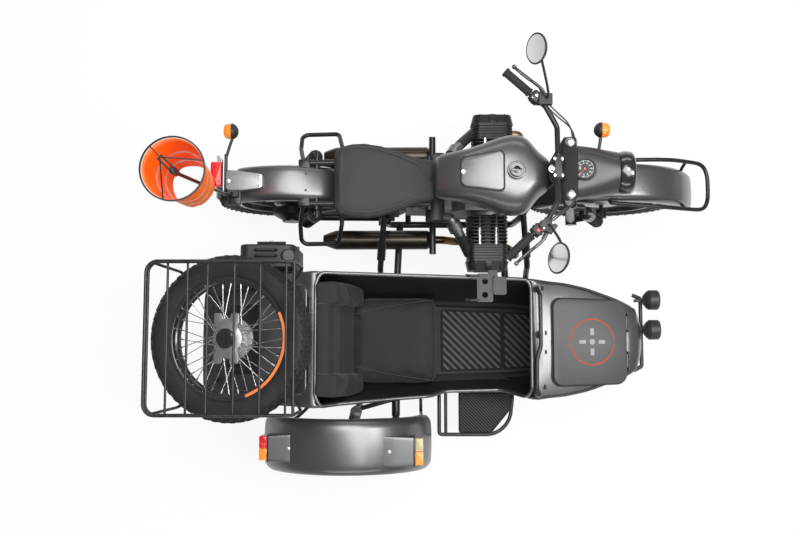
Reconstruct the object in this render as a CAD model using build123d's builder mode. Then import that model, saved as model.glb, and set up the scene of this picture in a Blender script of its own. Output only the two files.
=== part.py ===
"""Sidecar motorcycle: a boxer motorcycle with a leading-link fork, and its one-seat sidecar.

X points forward, Y to the left, Z up, all in millimetres. The origin is on the floor, under the
middle of the whole machine. The sidecar stands on the right of the motorcycle.
"""

import math
import os

from build123d import *

os.makedirs("parts", exist_ok=True)

# ---------------------------------------------------------------- driving dimensions
BIKE_Y = 410.0  # centre plane of the motorcycle
CAR_Y = -280.0  # centre plane of the sidecar body
CAR_WHEEL_Y = -745.0  # centre plane of the sidecar wheel
REAR_AXLE_X = -705.0
FRONT_AXLE_X = 775.0
CAR_AXLE_X = -430.0
TYRE_R = 350.0
TYRE_HALF = 53.0
BEAD_R = 246.0
AXLE_R = 10.0
RUN_GAP = 0.3  # between a turning piece and its seat
SEAT_GAP = 0.3  # between fixed pieces that only rest against each other
AXLE_Z = TYRE_R

RAKE = 22.0  # head angle from the vertical, degrees
HEAD_X = 445.0  # steering axis at HEAD_Z
HEAD_Z = 1020.0
HEAD_TOP, HEAD_LOW = 960.0, 830.0  # ends of the headstock

TUBE_R = 16.0  # motorcycle frame tube
CAR_TUBE_R = 20.0  # sidecar chassis tube


def head_x(z):
    """X of the steering axis at height z."""
    return HEAD_X + (HEAD_Z - z) * math.tan(math.radians(RAKE))


STEER_DIR = Vector(-math.sin(math.radians(RAKE)), 0, math.cos(math.radians(RAKE)))


# ---------------------------------------------------------------- shared operations
def tube(points, bend, radius):
    """A round tube or bar: straight runs joined by arcs of one bend radius."""
    with BuildLine() as path:
        if len(points) > 2:
            FilletPolyline(*points, radius=bend)
        else:
            Line(*points)
    with BuildSketch(Plane(origin=path.line @ 0, z_dir=path.line % 0)) as ring:
        Circle(radius)
    sweep(sections=ring.sketch, path=path.line)


def rod(start, end, radius, mode=Mode.ADD):
    """A straight round bar between two points, or the hole of one."""
    run = Vector(*end) - Vector(*start)
    with BuildSketch(Plane(origin=start, z_dir=run)) as ring:
        Circle(radius)
    extrude(ring.sketch, amount=run.length, mode=mode)


def turned(centre, axis, profile, mode=Mode.ADD, arc=360.0, start=0.0):
    """A turned piece: (along the axis, radius) points spun about an axis through centre."""
    axis = Vector(*axis).normalized()
    side = Vector(0, 0, 1) if abs(axis.Z) < 0.9 else Vector(1, 0, 0)
    side = (side - axis * side.dot(axis)).normalized().rotate(Axis((0, 0, 0), axis), start)
    plane = Plane(origin=centre, x_dir=axis, z_dir=axis.cross(side))
    with BuildSketch(plane) as half:
        with BuildLine():
            Polyline(*profile, close=True)
        make_face()
    revolve(half.sketch, axis=Axis(centre, axis), revolution_arc=arc, mode=mode)


def block(x, y, z, mode=Mode.ADD):
    """A box between two limits on each axis."""
    with BuildSketch(Plane.XY.offset(z[0])) as foot:
        with Locations(((x[0] + x[1]) / 2, (y[0] + y[1]) / 2)):
            Rectangle(x[1] - x[0], y[1] - y[0])
    extrude(foot.sketch, amount=z[1] - z[0], mode=mode)


def plate_xz(points, y, mode=Mode.ADD):
    """A plate between two Y limits, with its outline given as (x, z) points."""
    with BuildSketch(Plane(origin=(0, y[0], 0), x_dir=(1, 0, 0), z_dir=(0, -1, 0))) as outline:
        with BuildLine():
            Polyline(*points, close=True)
        make_face()
    extrude(outline.sketch, amount=y[0] - y[1], mode=mode)


def plate_xy(points, z, bend=0.0, mode=Mode.ADD):
    """A plate between two Z limits, with its outline given as (x, y) points."""
    with BuildSketch(Plane.XY.offset(z[0])) as outline:
        with BuildLine():
            if bend:
                FilletPolyline(*points, radius=bend, close=True)
            else:
                Polyline(*points, close=True)
        make_face()
    extrude(outline.sketch, amount=z[1] - z[0], mode=mode)


def both_sides(offset):
    """The two Y places of a pair set symmetrically on the motorcycle."""
    return (BIKE_Y + offset, BIKE_Y - offset)


def write(builder, name):
    builder.part.label = name
    export_step(builder.part, f"parts/{name}.step")


# ---------------------------------------------------------------- wheels
SPOKES = 36
SPOKE_R = 2.4
HUB_HALF = 44.0
FLANGE_R = 62.0
DRUM_R = 88.0

# along the axle, radius
TYRE_PROFILE = [
    (-40.5, BEAD_R + RUN_GAP),
    (-40.5, BEAD_R + 10.5),
    (-50, 270),
    (-TYRE_HALF, 300),
    (-47, 330),
    (-30, 345),
    (0, TYRE_R),
    (30, 345),
    (47, 330),
    (TYRE_HALF, 300),
    (50, 270),
    (40.5, BEAD_R + 10.5),
    (40.5, BEAD_R + RUN_GAP),
]
RIM_PROFILE = [
    (-44, BEAD_R + 10),
    (-41, BEAD_R + 10),
    (-41, BEAD_R),
    (41, BEAD_R),
    (41, BEAD_R + 10),
    (44, BEAD_R + 10),
    (44, BEAD_R - 5),
    (18, BEAD_R - 7),
    (12, BEAD_R - 17),
    (-12, BEAD_R - 17),
    (-18, BEAD_R - 7),
    (-44, BEAD_R - 5),
]
HUB_PROFILE = [
    (-HUB_HALF, AXLE_R + RUN_GAP),
    (-HUB_HALF, 30),
    (-40, DRUM_R),
    (-20, DRUM_R),
    (-16, FLANGE_R),
    (-10, 34),
    (24, 34),
    (28, FLANGE_R),
    (34, FLANGE_R),
    (36, 30),
    (HUB_HALF, 26),
    (HUB_HALF, AXLE_R + RUN_GAP),
]

with BuildPart() as tyre:
    turned((0, 0, 0), (0, 1, 0), TYRE_PROFILE)

with BuildPart() as wire_wheel:
    turned((0, 0, 0), (0, 1, 0), RIM_PROFILE)
    turned((0, 0, 0), (0, 1, 0), HUB_PROFILE)
    for i in range(SPOKES):
        turn = math.radians(i * 360.0 / SPOKES)
        lace = math.radians(24.0 if i % 4 < 2 else -24.0)
        flange_y, flange_r = (31.0, FLANGE_R - 8) if i % 2 else (-18.0, DRUM_R - 16)
        inner = (flange_r * math.cos(turn + lace), flange_y, flange_r * math.sin(turn + lace))
        outer_r = BEAD_R - 14
        outer = Vector(outer_r * math.cos(turn), 0, outer_r * math.sin(turn))
        run = outer - Vector(*inner)
        with BuildSketch(Plane(origin=inner, z_dir=run)) as wire:
            RegularPolygon(SPOKE_R, 5)
        extrude(wire.sketch, amount=run.length)

WHEELS = {
    "front": (FRONT_AXLE_X, BIKE_Y),
    "rear": (REAR_AXLE_X, BIKE_Y),
    "sidecar": (CAR_AXLE_X, CAR_WHEEL_Y),
}
for station, (x, y) in WHEELS.items():
    with BuildPart() as running_tyre:
        with Locations((x, y, AXLE_Z)):
            add(tyre.part)
    write(running_tyre, f"{station}_tyre")
    with BuildPart() as running_wheel:
        with Locations((x, y, AXLE_Z)):
            add(wire_wheel.part)
    write(running_wheel, f"{station}_wheel")

# ---------------------------------------------------------------- motorcycle frame
RAIL_Y = 118.0  # bottom rails, either side of the engine
SEAT_RAIL_Y = 92.0
RAIL_Z = 205.0
PIVOT_X, PIVOT_Z = -215.0, 330.0
PIVOT_R = 12.0
FRAME_REAR_X = -640.0
PEG_X, PEG_Z = -35.0, 372.0
SEAT_RAIL_Z = 690.0

with BuildPart() as motorcycle_frame:
    rod((head_x(HEAD_LOW), BIKE_Y, HEAD_LOW), (head_x(HEAD_TOP), BIKE_Y, HEAD_TOP), 30)
    tube([(482, BIKE_Y, 902), (330, BIKE_Y, 870), (-60, BIKE_Y, SEAT_RAIL_Z)], 120, 22)
    for y in both_sides(RAIL_Y):
        tube(
            [
                (486, BIKE_Y, 858),
                (404, BIKE_Y + (y - BIKE_Y) / 2, 738),
                (374, y, 440),
                (360, y, RAIL_Z),
                (PIVOT_X - 30, y, RAIL_Z),
                (PIVOT_X - 60, y, 420),
                (-180, y, SEAT_RAIL_Z - 20),
            ],
            45,
            TUBE_R,
        )
    for y in both_sides(SEAT_RAIL_Y):
        tube([(-60, y, SEAT_RAIL_Z), (FRAME_REAR_X, y, SEAT_RAIL_Z)], 0, TUBE_R)
        tube([(FRAME_REAR_X + 90, y, SEAT_RAIL_Z), (PIVOT_X - 45, y, 400)], 0, 12)
    for x in (-60, -180, FRAME_REAR_X + 80):
        low, high = BIKE_Y - RAIL_Y, BIKE_Y + RAIL_Y
        rod((x, low, SEAT_RAIL_Z), (x, high, SEAT_RAIL_Z), 13)
    for x in (300, -150):
        rod((x, BIKE_Y - RAIL_Y, RAIL_Z), (x, BIKE_Y + RAIL_Y, RAIL_Z), 14)
    # pivot bosses of the swingarm
    for y in both_sides(RAIL_Y):
        turned((PIVOT_X - 48, y, PIVOT_Z), (0, 1, 0), [(-20, 0), (-20, 30), (20, 30), (20, 0)])
    # foot pegs on forged stubs
    for side in (1, -1):
        y0, y1 = BIKE_Y + side * RAIL_Y, BIKE_Y + side * (RAIL_Y + 16)
        rod((PEG_X, y0, RAIL_Z), (PEG_X, y1, PEG_Z), 11)
        rod((PEG_X, y1 - side * 12, PEG_Z), (PEG_X, BIKE_Y + side * 282, PEG_Z + 4), 16)
    # ends of the headstock cut square to the steering axis, and bored for the stem
    rod(
        (head_x(HEAD_LOW - 40), BIKE_Y, HEAD_LOW - 40),
        (head_x(HEAD_TOP + 40), BIKE_Y, HEAD_TOP + 40),
        16 + RUN_GAP,
        mode=Mode.SUBTRACT,
    )
write(motorcycle_frame, "motorcycle_frame")

# ---------------------------------------------------------------- engine
CYL_Z = 420.0
CYLINDERS = {"left": (1, 245.0), "right": (-1, 217.0)}  # side, X of the bore
CASE_HALF = 96.0
FINS = 9
FIN_PITCH = 16.0
FIN_THICK = 5.0
HEAD_OUT = 325.0
COVER_OUT = 368.0

with BuildPart() as engine_block:
    plate_xz(
        [(70, 235), (300, 235), (322, 300), (322, 470), (290, 525), (110, 545), (50, 480), (50, 260)],
        (BIKE_Y - CASE_HALF, BIKE_Y + CASE_HALF),
    )
    plate_xz([(-160, 290), (50, 250), (50, 490), (-130, 470)], (BIKE_Y - 84, BIKE_Y + 84))
    turned((322, BIKE_Y, 390), (1, 0, 0), [(-2, 0), (-2, 74), (10, 74), (22, 60), (22, 0)])
    # sump, and the two feet that rest on the frame's cross tubes
    block((100, 280), (BIKE_Y - 70, BIKE_Y + 70), (219, 236))
    block((288, 312), (BIKE_Y - 40, BIKE_Y + 40), (RAIL_Z + 14, 240))
    block((-162, -138), (BIKE_Y - 40, BIKE_Y + 40), (RAIL_Z + 14, 300))
    for side, x in CYLINDERS.values():
        rod((x, BIKE_Y, CYL_Z), (x, BIKE_Y + side * (CASE_HALF + 14), CYL_Z), 72)
write(engine_block, "engine_block")

cylinders = []
for name, (side, x) in CYLINDERS.items():
    with BuildPart() as cylinder:
        start = BIKE_Y + side * (CASE_HALF + 14)
        rod((x, start, CYL_Z), (x, BIKE_Y + side * 255, CYL_Z), 56)
        for i in range(FINS):
            y = start + side * (8 + i * FIN_PITCH)
            with BuildSketch(Plane(origin=(x, y, CYL_Z), x_dir=(1, 0, 0), z_dir=(0, side, 0))) as fin:
                RectangleRounded(190, 168, 40)
            extrude(fin.sketch, amount=FIN_THICK)
        # head and rocker cover
        head = Plane(origin=(x, BIKE_Y + side * 252, CYL_Z), x_dir=(1, 0, 0), z_dir=(0, side, 0))
        with BuildSketch(head) as chamber:
            RectangleRounded(176, 150, 30)
        extrude(chamber.sketch, amount=HEAD_OUT - 252)
        with BuildSketch(head.offset(HEAD_OUT - 252)) as cover:
            RectangleRounded(200, 140, 45)
        extrude(cover.sketch, amount=COVER_OUT - HEAD_OUT, taper=14)
        for dz in (-12, 12):
            with BuildSketch(head.offset(HEAD_OUT - 252)) as rib:
                with Locations((0, dz)):
                    Rectangle(120, 8)
            extrude(rib.sketch, amount=COVER_OUT - HEAD_OUT + 5)
        # push-rod tubes above and below the barrel
        for dx in (-38, 38):
            rod((x + dx, start, CYL_Z + 78), (x + dx, BIKE_Y + side * 254, CYL_Z + 70), 9)
    cylinders.append(cylinder.part)
    write(cylinder, f"cylinder_{name}")

# ---------------------------------------------------------------- intake and exhaust
with BuildPart() as intake:
    # air filter behind the engine's top, and a throttle body with its elbow on each side
    turned((-30, BIKE_Y, 560), (0, 1, 0), [(-150, 0), (-150, 44), (150, 44), (150, 0)])
    for side, x in CYLINDERS.values():
        y = BIKE_Y + side * 135
        tube(
            [(-30, y, 560), (40, y, 560), (85, BIKE_Y + side * 210, 520), (x - 86, BIKE_Y + side * 288, 450)],
            30,
            24,
        )
        body = Vector(60, BIKE_Y + side * 170, 542)
        way = Vector(45, side * 75, -40).normalized()
        turned(tuple(body - way * 20), tuple(way), [(0, 0), (0, 34), (44, 34), (44, 0)])
    add([engine_block.part, *cylinders], mode=Mode.SUBTRACT)
write(intake, "intake")

MUFFLER_Z = 300.0
with BuildPart() as exhausts:
    for side, x in CYLINDERS.values():
        y_head, y_run = BIKE_Y + side * 290, BIKE_Y + side * 205
        tube(
            [
                (x + 87.5, y_head, 400),
                (x + 140, y_head, 400),
                (x + 140, y_head - side * 40, 235),
                (x + 60, y_run, 232),
                (80, y_run, 236),
                (12, y_run, MUFFLER_Z),
                (-40, y_run, MUFFLER_Z),
            ],
            28,
            19,
        )
        turned(
            (0, y_run, MUFFLER_Z),
            (-1, 0, -0.02),
            [(20, 0), (20, 24), (60, 46), (500, 46), (530, 36), (560, 24), (560, 17), (520, 17), (520, 0)],
        )
    add(cylinders, mode=Mode.SUBTRACT)
write(exhausts, "exhausts")

# ---------------------------------------------------------------- tank, lid, cap, seat
TANK_TOP = 985.0
TANK_LOW = 745.0
with BuildPart() as fuel_tank:
    plate_xy(
        [
            (-40, BIKE_Y + 85),
            (120, BIKE_Y + 118),
            (270, BIKE_Y + 172),
            (342, BIKE_Y + 174),
            (388, BIKE_Y + 100),
            (452, BIKE_Y + 56),
            (452, BIKE_Y - 56),
            (388, BIKE_Y - 100),
            (342, BIKE_Y - 174),
            (270, BIKE_Y - 172),
            (120, BIKE_Y - 118),
            (-40, BIKE_Y - 85),
        ],
        (TANK_LOW, TANK_TOP),
        bend=30,
    )
    # side view: the top falls to the seat, the front is cut back round the headstock
    with BuildSketch(Plane(origin=(0, BIKE_Y, 0), x_dir=(1, 0, 0), z_dir=(0, -1, 0))) as side_view:
        with BuildLine():
            FilletPolyline(
                (-60, 745), (-60, 850), (60, 945), (300, TANK_TOP), (455, 955), (505, 860), (430, 745),
                radius=30, close=True,
            )
        make_face()
    extrude(side_view.sketch, amount=250, both=True, mode=Mode.INTERSECT)
    # saddle channel over the backbone and headstock
    plate_xz(
        [(-100, 700), (-100, 790), (330, 915), (520, 1000), (560, 700)],
        (BIKE_Y - 46, BIKE_Y + 46),
        mode=Mode.SUBTRACT,
    )
    add(motorcycle_frame.part, mode=Mode.SUBTRACT)
write(fuel_tank, "fuel_tank")

LID_LENGTH = 184.0
TANK_CREST = (60.0, 945.0, 300.0, TANK_TOP)  # x, z at the rear and front of the sloping top
TOP_SLOPE = math.atan2(TANK_CREST[3] - TANK_CREST[1], TANK_CREST[2] - TANK_CREST[0])
tank_top_plane = Plane(
    origin=(TANK_CREST[0], BIKE_Y, TANK_CREST[1]),
    x_dir=(math.cos(TOP_SLOPE), 0, math.sin(TOP_SLOPE)),
    z_dir=(-math.sin(TOP_SLOPE), 0, math.cos(TOP_SLOPE)),
)
with BuildPart() as toolbox_lid:
    with BuildSketch(tank_top_plane) as outline:
        with BuildLine():
            FilletPolyline(
                (4, -58), (LID_LENGTH, -88), (LID_LENGTH, 88), (4, 58), radius=22, close=True
            )
        make_face()
    extrude(outline.sketch, amount=12)
    fillet(toolbox_lid.faces().sort_by(Axis.Z)[-1].edges(), 4)
    with BuildSketch(tank_top_plane.offset(12)) as lock:
        with Locations((16, 0)):
            Circle(8)
    extrude(lock.sketch, amount=3)
write(toolbox_lid, "toolbox_lid")

with BuildPart() as fuel_cap:
    turned((290, BIKE_Y, TANK_TOP - 14), (0, 0, 1), [(0, 0), (0, 37), (32, 37), (38, 30), (38, 0)])
    add(fuel_tank.part, mode=Mode.SUBTRACT)
write(fuel_cap, "fuel_cap")

SEAT_LOW, SEAT_TOP = SEAT_RAIL_Z + TUBE_R + 6, 790.0
with BuildPart() as rider_seat:
    plate_xy(
        [
            (-488, BIKE_Y + 60),
            (-470, BIKE_Y + 150),
            (-360, BIKE_Y + 176),
            (-200, BIKE_Y + 120),
            (-50, BIKE_Y + 62),
            (-46, BIKE_Y - 62),
            (-200, BIKE_Y - 120),
            (-360, BIKE_Y - 176),
            (-470, BIKE_Y - 150),
            (-488, BIKE_Y - 60),
        ],
        (SEAT_LOW, SEAT_TOP),
        bend=40,
    )
    with BuildSketch(Plane(origin=(0, BIKE_Y, 0), x_dir=(1, 0, 0), z_dir=(0, -1, 0))) as side_view:
        with BuildLine():
            FilletPolyline(
                (-500, SEAT_LOW), (-500, 760), (-430, 790), (-200, 765), (-60, 788), (-30, 775), (-30, SEAT_LOW),
                radius=14, close=True,
            )
        make_face()
    extrude(side_view.sketch, amount=250, both=True, mode=Mode.INTERSECT)
    # two rubber feet rest on each seat rail
    for y in both_sides(SEAT_RAIL_Y):
        for x in (-420, -140):
            block((x - 15, x + 15), (y - 8, y + 8), (SEAT_RAIL_Z + TUBE_R, SEAT_LOW))
    add(motorcycle_frame.part, mode=Mode.SUBTRACT)
write(rider_seat, "rider_seat")

# ---------------------------------------------------------------- rear fender, lamp, hoops
FENDER_R = 388.0
REAR_FENDER_HALF = 78.0
BRACKET_TOP = 742.0
SHEET = 4.0


def fender(centre, radius, half, skirt, first, last):
    """A sheet fender round a wheel: a crowned band with turned-down skirts."""
    rows = [
        (-half, radius - skirt),
        (-half + 4, radius - 22),
        (-half * 0.72, radius - 6),
        (0, radius),
        (half * 0.72, radius - 6),
        (half - 4, radius - 22),
        (half, radius - skirt),
    ]
    inside = [(w - math.copysign(SHEET, w) if w else 0, r - SHEET * 0.8) for w, r in reversed(rows)]
    inside[0] = (half - SHEET, radius - skirt)
    inside[-1] = (SHEET - half, radius - skirt)
    turned(centre, (0, 1, 0), rows + inside, arc=last - first, start=first)


with BuildPart() as rear_fender:
    # cast tail bracket, shaped to the crown of the fender
    plate_xy(
        [
            (-790, BIKE_Y - 30), (-890, BIKE_Y - 62), (-955, BIKE_Y - 60),
            (-955, BIKE_Y + 110), (-890, BIKE_Y + 62), (-790, BIKE_Y + 30),
        ],
        (690, BRACKET_TOP),
        bend=14,
    )
    turned(
        (REAR_AXLE_X, BIKE_Y, AXLE_Z), (0, 1, 0),
        [(-130, 0), (-130, FENDER_R - 2), (130, FENDER_R - 2), (130, 0)],
        mode=Mode.SUBTRACT,
    )
    fender((REAR_AXLE_X, BIKE_Y, AXLE_Z), FENDER_R, REAR_FENDER_HALF, 48, -34.0, 46.0)
    # lugs that carry it on the seat rails
    for side in (1, -1):
        y0, y1 = BIKE_Y + side * 56, BIKE_Y + side * (SEAT_RAIL_Y + 10)
        block((-638, -590), (min(y0, y1), max(y0, y1)), (SEAT_RAIL_Z + TUBE_R, SEAT_RAIL_Z + TUBE_R + 6))
    add(motorcycle_frame.part, mode=Mode.SUBTRACT)
write(rear_fender, "rear_fender")

PLATE_X = -1012.0
PLATE_Z = 638.0
PLATE_HOLE_R = 3.5
PLATE_HOLE_PITCH = 120.0
with BuildPart() as tail_lamp:
    # stepped housing behind the bracket, with the blank plate hung below it
    block((-985, -955.3), (BIKE_Y - 46, BIKE_Y + 125), (690, 738))
    block((-1000, -985), (BIKE_Y - 24, BIKE_Y + 100), (672, 720))
    # lens
    block((-1030, -1000), (BIKE_Y - 18, BIKE_Y + 94), (678, 716))
    block((PLATE_X, PLATE_X + 6), (BIKE_Y - 60, BIKE_Y + 136), (PLATE_Z - 56, PLATE_Z + 20))
    block((PLATE_X, -990), (BIKE_Y + 20, BIKE_Y + 56), (PLATE_Z + 10, 700))
    plate = Plane(origin=(PLATE_X + 10, BIKE_Y + 38, PLATE_Z - 16), x_dir=(0, 1, 0), z_dir=(-1, 0, 0))
    with BuildSketch(plate) as holes:
        with Locations((-PLATE_HOLE_PITCH / 2, 0), (PLATE_HOLE_PITCH / 2, 0)):
            Circle(PLATE_HOLE_R)
    extrude(holes.sketch, amount=20, mode=Mode.SUBTRACT)
    # left turn lamp on its stalk
    rod((-960, BIKE_Y + 120, 700), (-930, BIKE_Y + 235, 690), 7)
    turned((-925, BIKE_Y + 235, 690), (-1, 0, 0), [(-15, 0), (-15, 24), (30, 36), (44, 34), (50, 22), (50, 0)])
write(tail_lamp, "tail_lamp")

with BuildPart() as side_hoops:
    for side in (1, -1):
        y = BIKE_Y + side * (RAIL_Y + 6)
        tube(
            [
                (-450, BIKE_Y + side * (SEAT_RAIL_Y + 8), SEAT_RAIL_Z),
                (-450, y + side * 50, 640),
                (-470, y + side * 130, 560),
                (-640, y + side * 130, 540),
                (-640, y + side * 50, 600),
                (-620, BIKE_Y + side * (SEAT_RAIL_Y + 8), SEAT_RAIL_Z),
            ],
            30,
            10,
        )
    add(motorcycle_frame.part, mode=Mode.SUBTRACT)
write(side_hoops, "side_hoops")

# ---------------------------------------------------------------- swingarm and final drive
ARM_Y = 98.0
DRIVE_R = 92.0
SHOCK_TOP = (-560.0, SEAT_RAIL_Z)
with BuildPart() as swingarm:
    rod((PIVOT_X, BIKE_Y - 96, PIVOT_Z), (PIVOT_X, BIKE_Y + 96, PIVOT_Z), 22)
    for y in both_sides(ARM_Y):
        tube([(PIVOT_X, y, PIVOT_Z), (-330, y, PIVOT_Z), (REAR_AXLE_X, y, AXLE_Z)], 60, 19)
    rod((REAR_AXLE_X, BIKE_Y - ARM_Y, AXLE_Z), (REAR_AXLE_X, BIKE_Y + ARM_Y + 24, AXLE_Z), AXLE_R)
    # bevel box on the drive side
    turned(
        (REAR_AXLE_X, BIKE_Y, AXLE_Z),
        (0, -1, 0),
        [(50, 0), (50, 60), (62, DRIVE_R), (92, DRIVE_R), (116, 48), (124, 48), (124, 0)],
    )
    turned((REAR_AXLE_X, BIKE_Y, AXLE_Z), (0, 1, 0), [(50, 0), (50, 22), (ARM_Y, 22), (ARM_Y, 0)])
    for side in (1, -1):
        # spring and damper from the arm's end to the seat rail
        y = BIKE_Y + side * (ARM_Y + 34)
        low, high = Vector(-640, y, AXLE_Z + 34), Vector(SHOCK_TOP[0], y, SHOCK_TOP[1] - 24)
        way = high - low
        profile = [(0, 0), (0, 15), (30, 15), (34, 28)]
        for i in range(6):
            base = 42 + i * 32
            profile += [(base, 29), (base + 8, 33), (base + 16, 29), (base + 24, 25)]
        profile += [(240, 29), (240, 33), (way.length - 40, 33), (way.length - 30, 14), (way.length, 14), (way.length, 0)]
        turned(tuple(low), tuple(way), profile)
        rod((low.X, BIKE_Y + side * ARM_Y, low.Z), (low.X, y, low.Z), 12)
        rod((high.X, BIKE_Y + side * (SEAT_RAIL_Y + 6), high.Z), (high.X, y + side * 18, high.Z), 11)
    rod((-640, BIKE_Y + ARM_Y, AXLE_Z + 38), (-640, BIKE_Y + ARM_Y, AXLE_Z), 14)
    rod((-640, BIKE_Y - ARM_Y, AXLE_Z + 38), (-640, BIKE_Y - ARM_Y, AXLE_Z), 14)
    add(motorcycle_frame.part, mode=Mode.SUBTRACT)
    add(side_hoops.part, mode=Mode.SUBTRACT)
write(swingarm, "swingarm")

# ---------------------------------------------------------------- steering
STEM_R = 16.0
FORK_Y = 108.0
LINK_X, LINK_Z = 638.0, 300.0  # pivots of the leading links
YOKE_TOP_Z, YOKE_LOW_Z = 985.0, 812.0
LEG_TOP = (505.0, 1000.0)


def leg_x(z):
    """X of the fork legs at height z."""
    share = (LEG_TOP[1] - z) / (LEG_TOP[1] - LINK_Z)
    return LEG_TOP[0] + share * (LINK_X - LEG_TOP[0])


def yoke(z, thick):
    """A fork yoke across the stem and both legs, square to the steering axis."""
    tilted = Plane(origin=(head_x(z), BIKE_Y, z), x_dir=(STEER_DIR.Z, 0, -STEER_DIR.X), z_dir=STEER_DIR)
    ahead = (leg_x(z) - head_x(z)) / math.cos(math.radians(RAKE))
    with BuildSketch(tilted) as outline:
        with BuildLine():
            FilletPolyline(
                (-30, -34), (ahead - 20, -FORK_Y - 24), (ahead + 30, -FORK_Y - 24), (ahead + 36, 0),
                (ahead + 30, FORK_Y + 24), (ahead - 20, FORK_Y + 24), (-30, 34),
                radius=12, close=True,
            )
        make_face()
    extrude(outline.sketch, amount=thick)


with BuildPart() as fork:
    rod((head_x(YOKE_LOW_Z - 6), BIKE_Y, YOKE_LOW_Z - 6), (head_x(1004), BIKE_Y, 1004), STEM_R)
    yoke(YOKE_TOP_Z, 18)
    yoke(YOKE_LOW_Z - 14, 24)
    for side in (1, -1):
        y = BIKE_Y + side * FORK_Y
        rod((LEG_TOP[0] - 2, y, LEG_TOP[1] + 8), (LINK_X, y, LINK_Z), 20)
        turned((LINK_X, y, LINK_Z), (0, 1, 0), [(-24, 0), (-24, 27), (24, 27), (24, 0)])
        rod((LINK_X, y, LINK_Z), (FRONT_AXLE_X + 6, y - side * 20, AXLE_Z - 2), 16)
        turned(
            (FRONT_AXLE_X, BIKE_Y + side * (FORK_Y - 22), AXLE_Z), (0, 1, 0),
            [(-20, 0), (-20, 25), (20, 25), (20, 0)],
        )
        # spring and damper ahead of each leg
        low = Vector(FRONT_AXLE_X - 14, y + side * 22, AXLE_Z + 10)
        high = Vector(leg_x(700) + 62, y + side * 22, 700)
        way = high - low
        profile = [(0, 0), (0, 13), (40, 13), (46, 26)]
        for i in range(6):
            base = 56 + i * 30
            profile += [(base, 27), (base + 8, 31), (base + 15, 27), (base + 22, 23)]
        profile += [(250, 27), (250, 30), (way.length - 34, 30), (way.length - 24, 13), (way.length, 13), (way.length, 0)]
        turned(tuple(low), tuple(way), profile)
        rod((FRONT_AXLE_X - 14, BIKE_Y + side * (FORK_Y - 26), AXLE_Z + 12), (low.X, y + side * 38, low.Z + 2), 11)
        rod((leg_x(700), y, 700), (high.X, y + side * 4, high.Z), 14)
        rod((high.X, y, high.Z), (high.X, y + side * 34, high.Z), 12)
    rod((FRONT_AXLE_X, BIKE_Y - FORK_Y, AXLE_Z), (FRONT_AXLE_X, BIKE_Y + FORK_Y, AXLE_Z), AXLE_R)
    # the headstock's room between the yokes
write(fork, "fork")

FRONT_FENDER_X, FRONT_FENDER_Z = 790.0, 342.0
FRONT_FENDER_R = 404.0
FRONT_FENDER_HALF = 84.0
with BuildPart() as front_fender:
    fender((FRONT_FENDER_X, BIKE_Y, FRONT_FENDER_Z), FRONT_FENDER_R, FRONT_FENDER_HALF, 56, -66.0, 74.0)
    # stays to the fork legs
    for side in (1, -1):
        y0, y1 = BIKE_Y + side * (FRONT_FENDER_HALF - 2), BIKE_Y + side * (FORK_Y - 20.3)
        block((leg_x(638) - 10, leg_x(638) + 10), (min(y0, y1), max(y0, y1)), (614, 662))
    # hoop round the front of the fender
    bar_y = FRONT_FENDER_HALF + 24
    tube(
        [
            (735, BIKE_Y - bar_y + 14, 735),
            (1010, BIKE_Y - bar_y, 690),
            (1196, BIKE_Y - bar_y, 590),
            (1212, BIKE_Y, 585),
            (1196, BIKE_Y + bar_y, 590),
            (1010, BIKE_Y + bar_y, 690),
            (735, BIKE_Y + bar_y - 14, 735),
        ],
        44,
        10,
    )
    for side in (1, -1):
        rod((735, BIKE_Y + side * (bar_y - 14), 735), (735, BIKE_Y + side * (FRONT_FENDER_HALF - 14), 712), 8)
        rod((1100, BIKE_Y + side * bar_y, 642), (1090, BIKE_Y + side * (FRONT_FENDER_HALF - 4), 590), 8)
    add(fork.part, mode=Mode.SUBTRACT)
write(front_fender, "front_fender")

LAMP_X, LAMP_Z, LAMP_R = 720.0, 925.0, 93.0
NACELLE_X = 512.0
with BuildPart() as nacelle:
    # shell from the yokes forward to the lamp ring
    back = Plane(origin=(NACELLE_X, BIKE_Y, 925), x_dir=(0, 1, 0), z_dir=(1, 0, 0))
    with BuildSketch(back) as rear:
        RectangleRounded(224, 150, 45)
    with BuildSketch(back.offset(LAMP_X - NACELLE_X)) as front:
        RectangleRounded(2 * LAMP_R - 8, 2 * LAMP_R - 8, LAMP_R - 10)
    loft(sections=[rear.sketch, front.sketch], ruled=True)
    # speedometer pod on top
    pod = Vector(-0.25, 0, 1).normalized()
    turned((575, BIKE_Y, 985), tuple(pod), [(-20, 0), (-20, 46), (38, 46), (44, 42), (44, 38), (36, 38), (36, 0)])
    # left turn lamp
    rod((640, BIKE_Y + 70, 925), (655, BIKE_Y + 175, 930), 7)
    turned((660, BIKE_Y + 183, 930), (1, 0, 0), [(-36, 0), (-30, 20), (0, 33), (20, 33), (30, 22), (30, 0)])
    # room for the headstock
    rod((head_x(800), BIKE_Y, 800), (head_x(1060), BIKE_Y, 1060), 50, mode=Mode.SUBTRACT)
    add(fork.part, mode=Mode.SUBTRACT)
write(nacelle, "nacelle")

with BuildPart() as headlamp:
    turned(
        (LAMP_X, BIKE_Y, LAMP_Z), (1, 0, 0),
        [(SEAT_GAP, 0), (SEAT_GAP, 86), (20, LAMP_R), (50, LAMP_R), (60, LAMP_R - 6), (60, LAMP_R - 14),
         (48, LAMP_R - 16), (58, 40), (62, 0)],
    )
write(headlamp, "headlamp")

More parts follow.
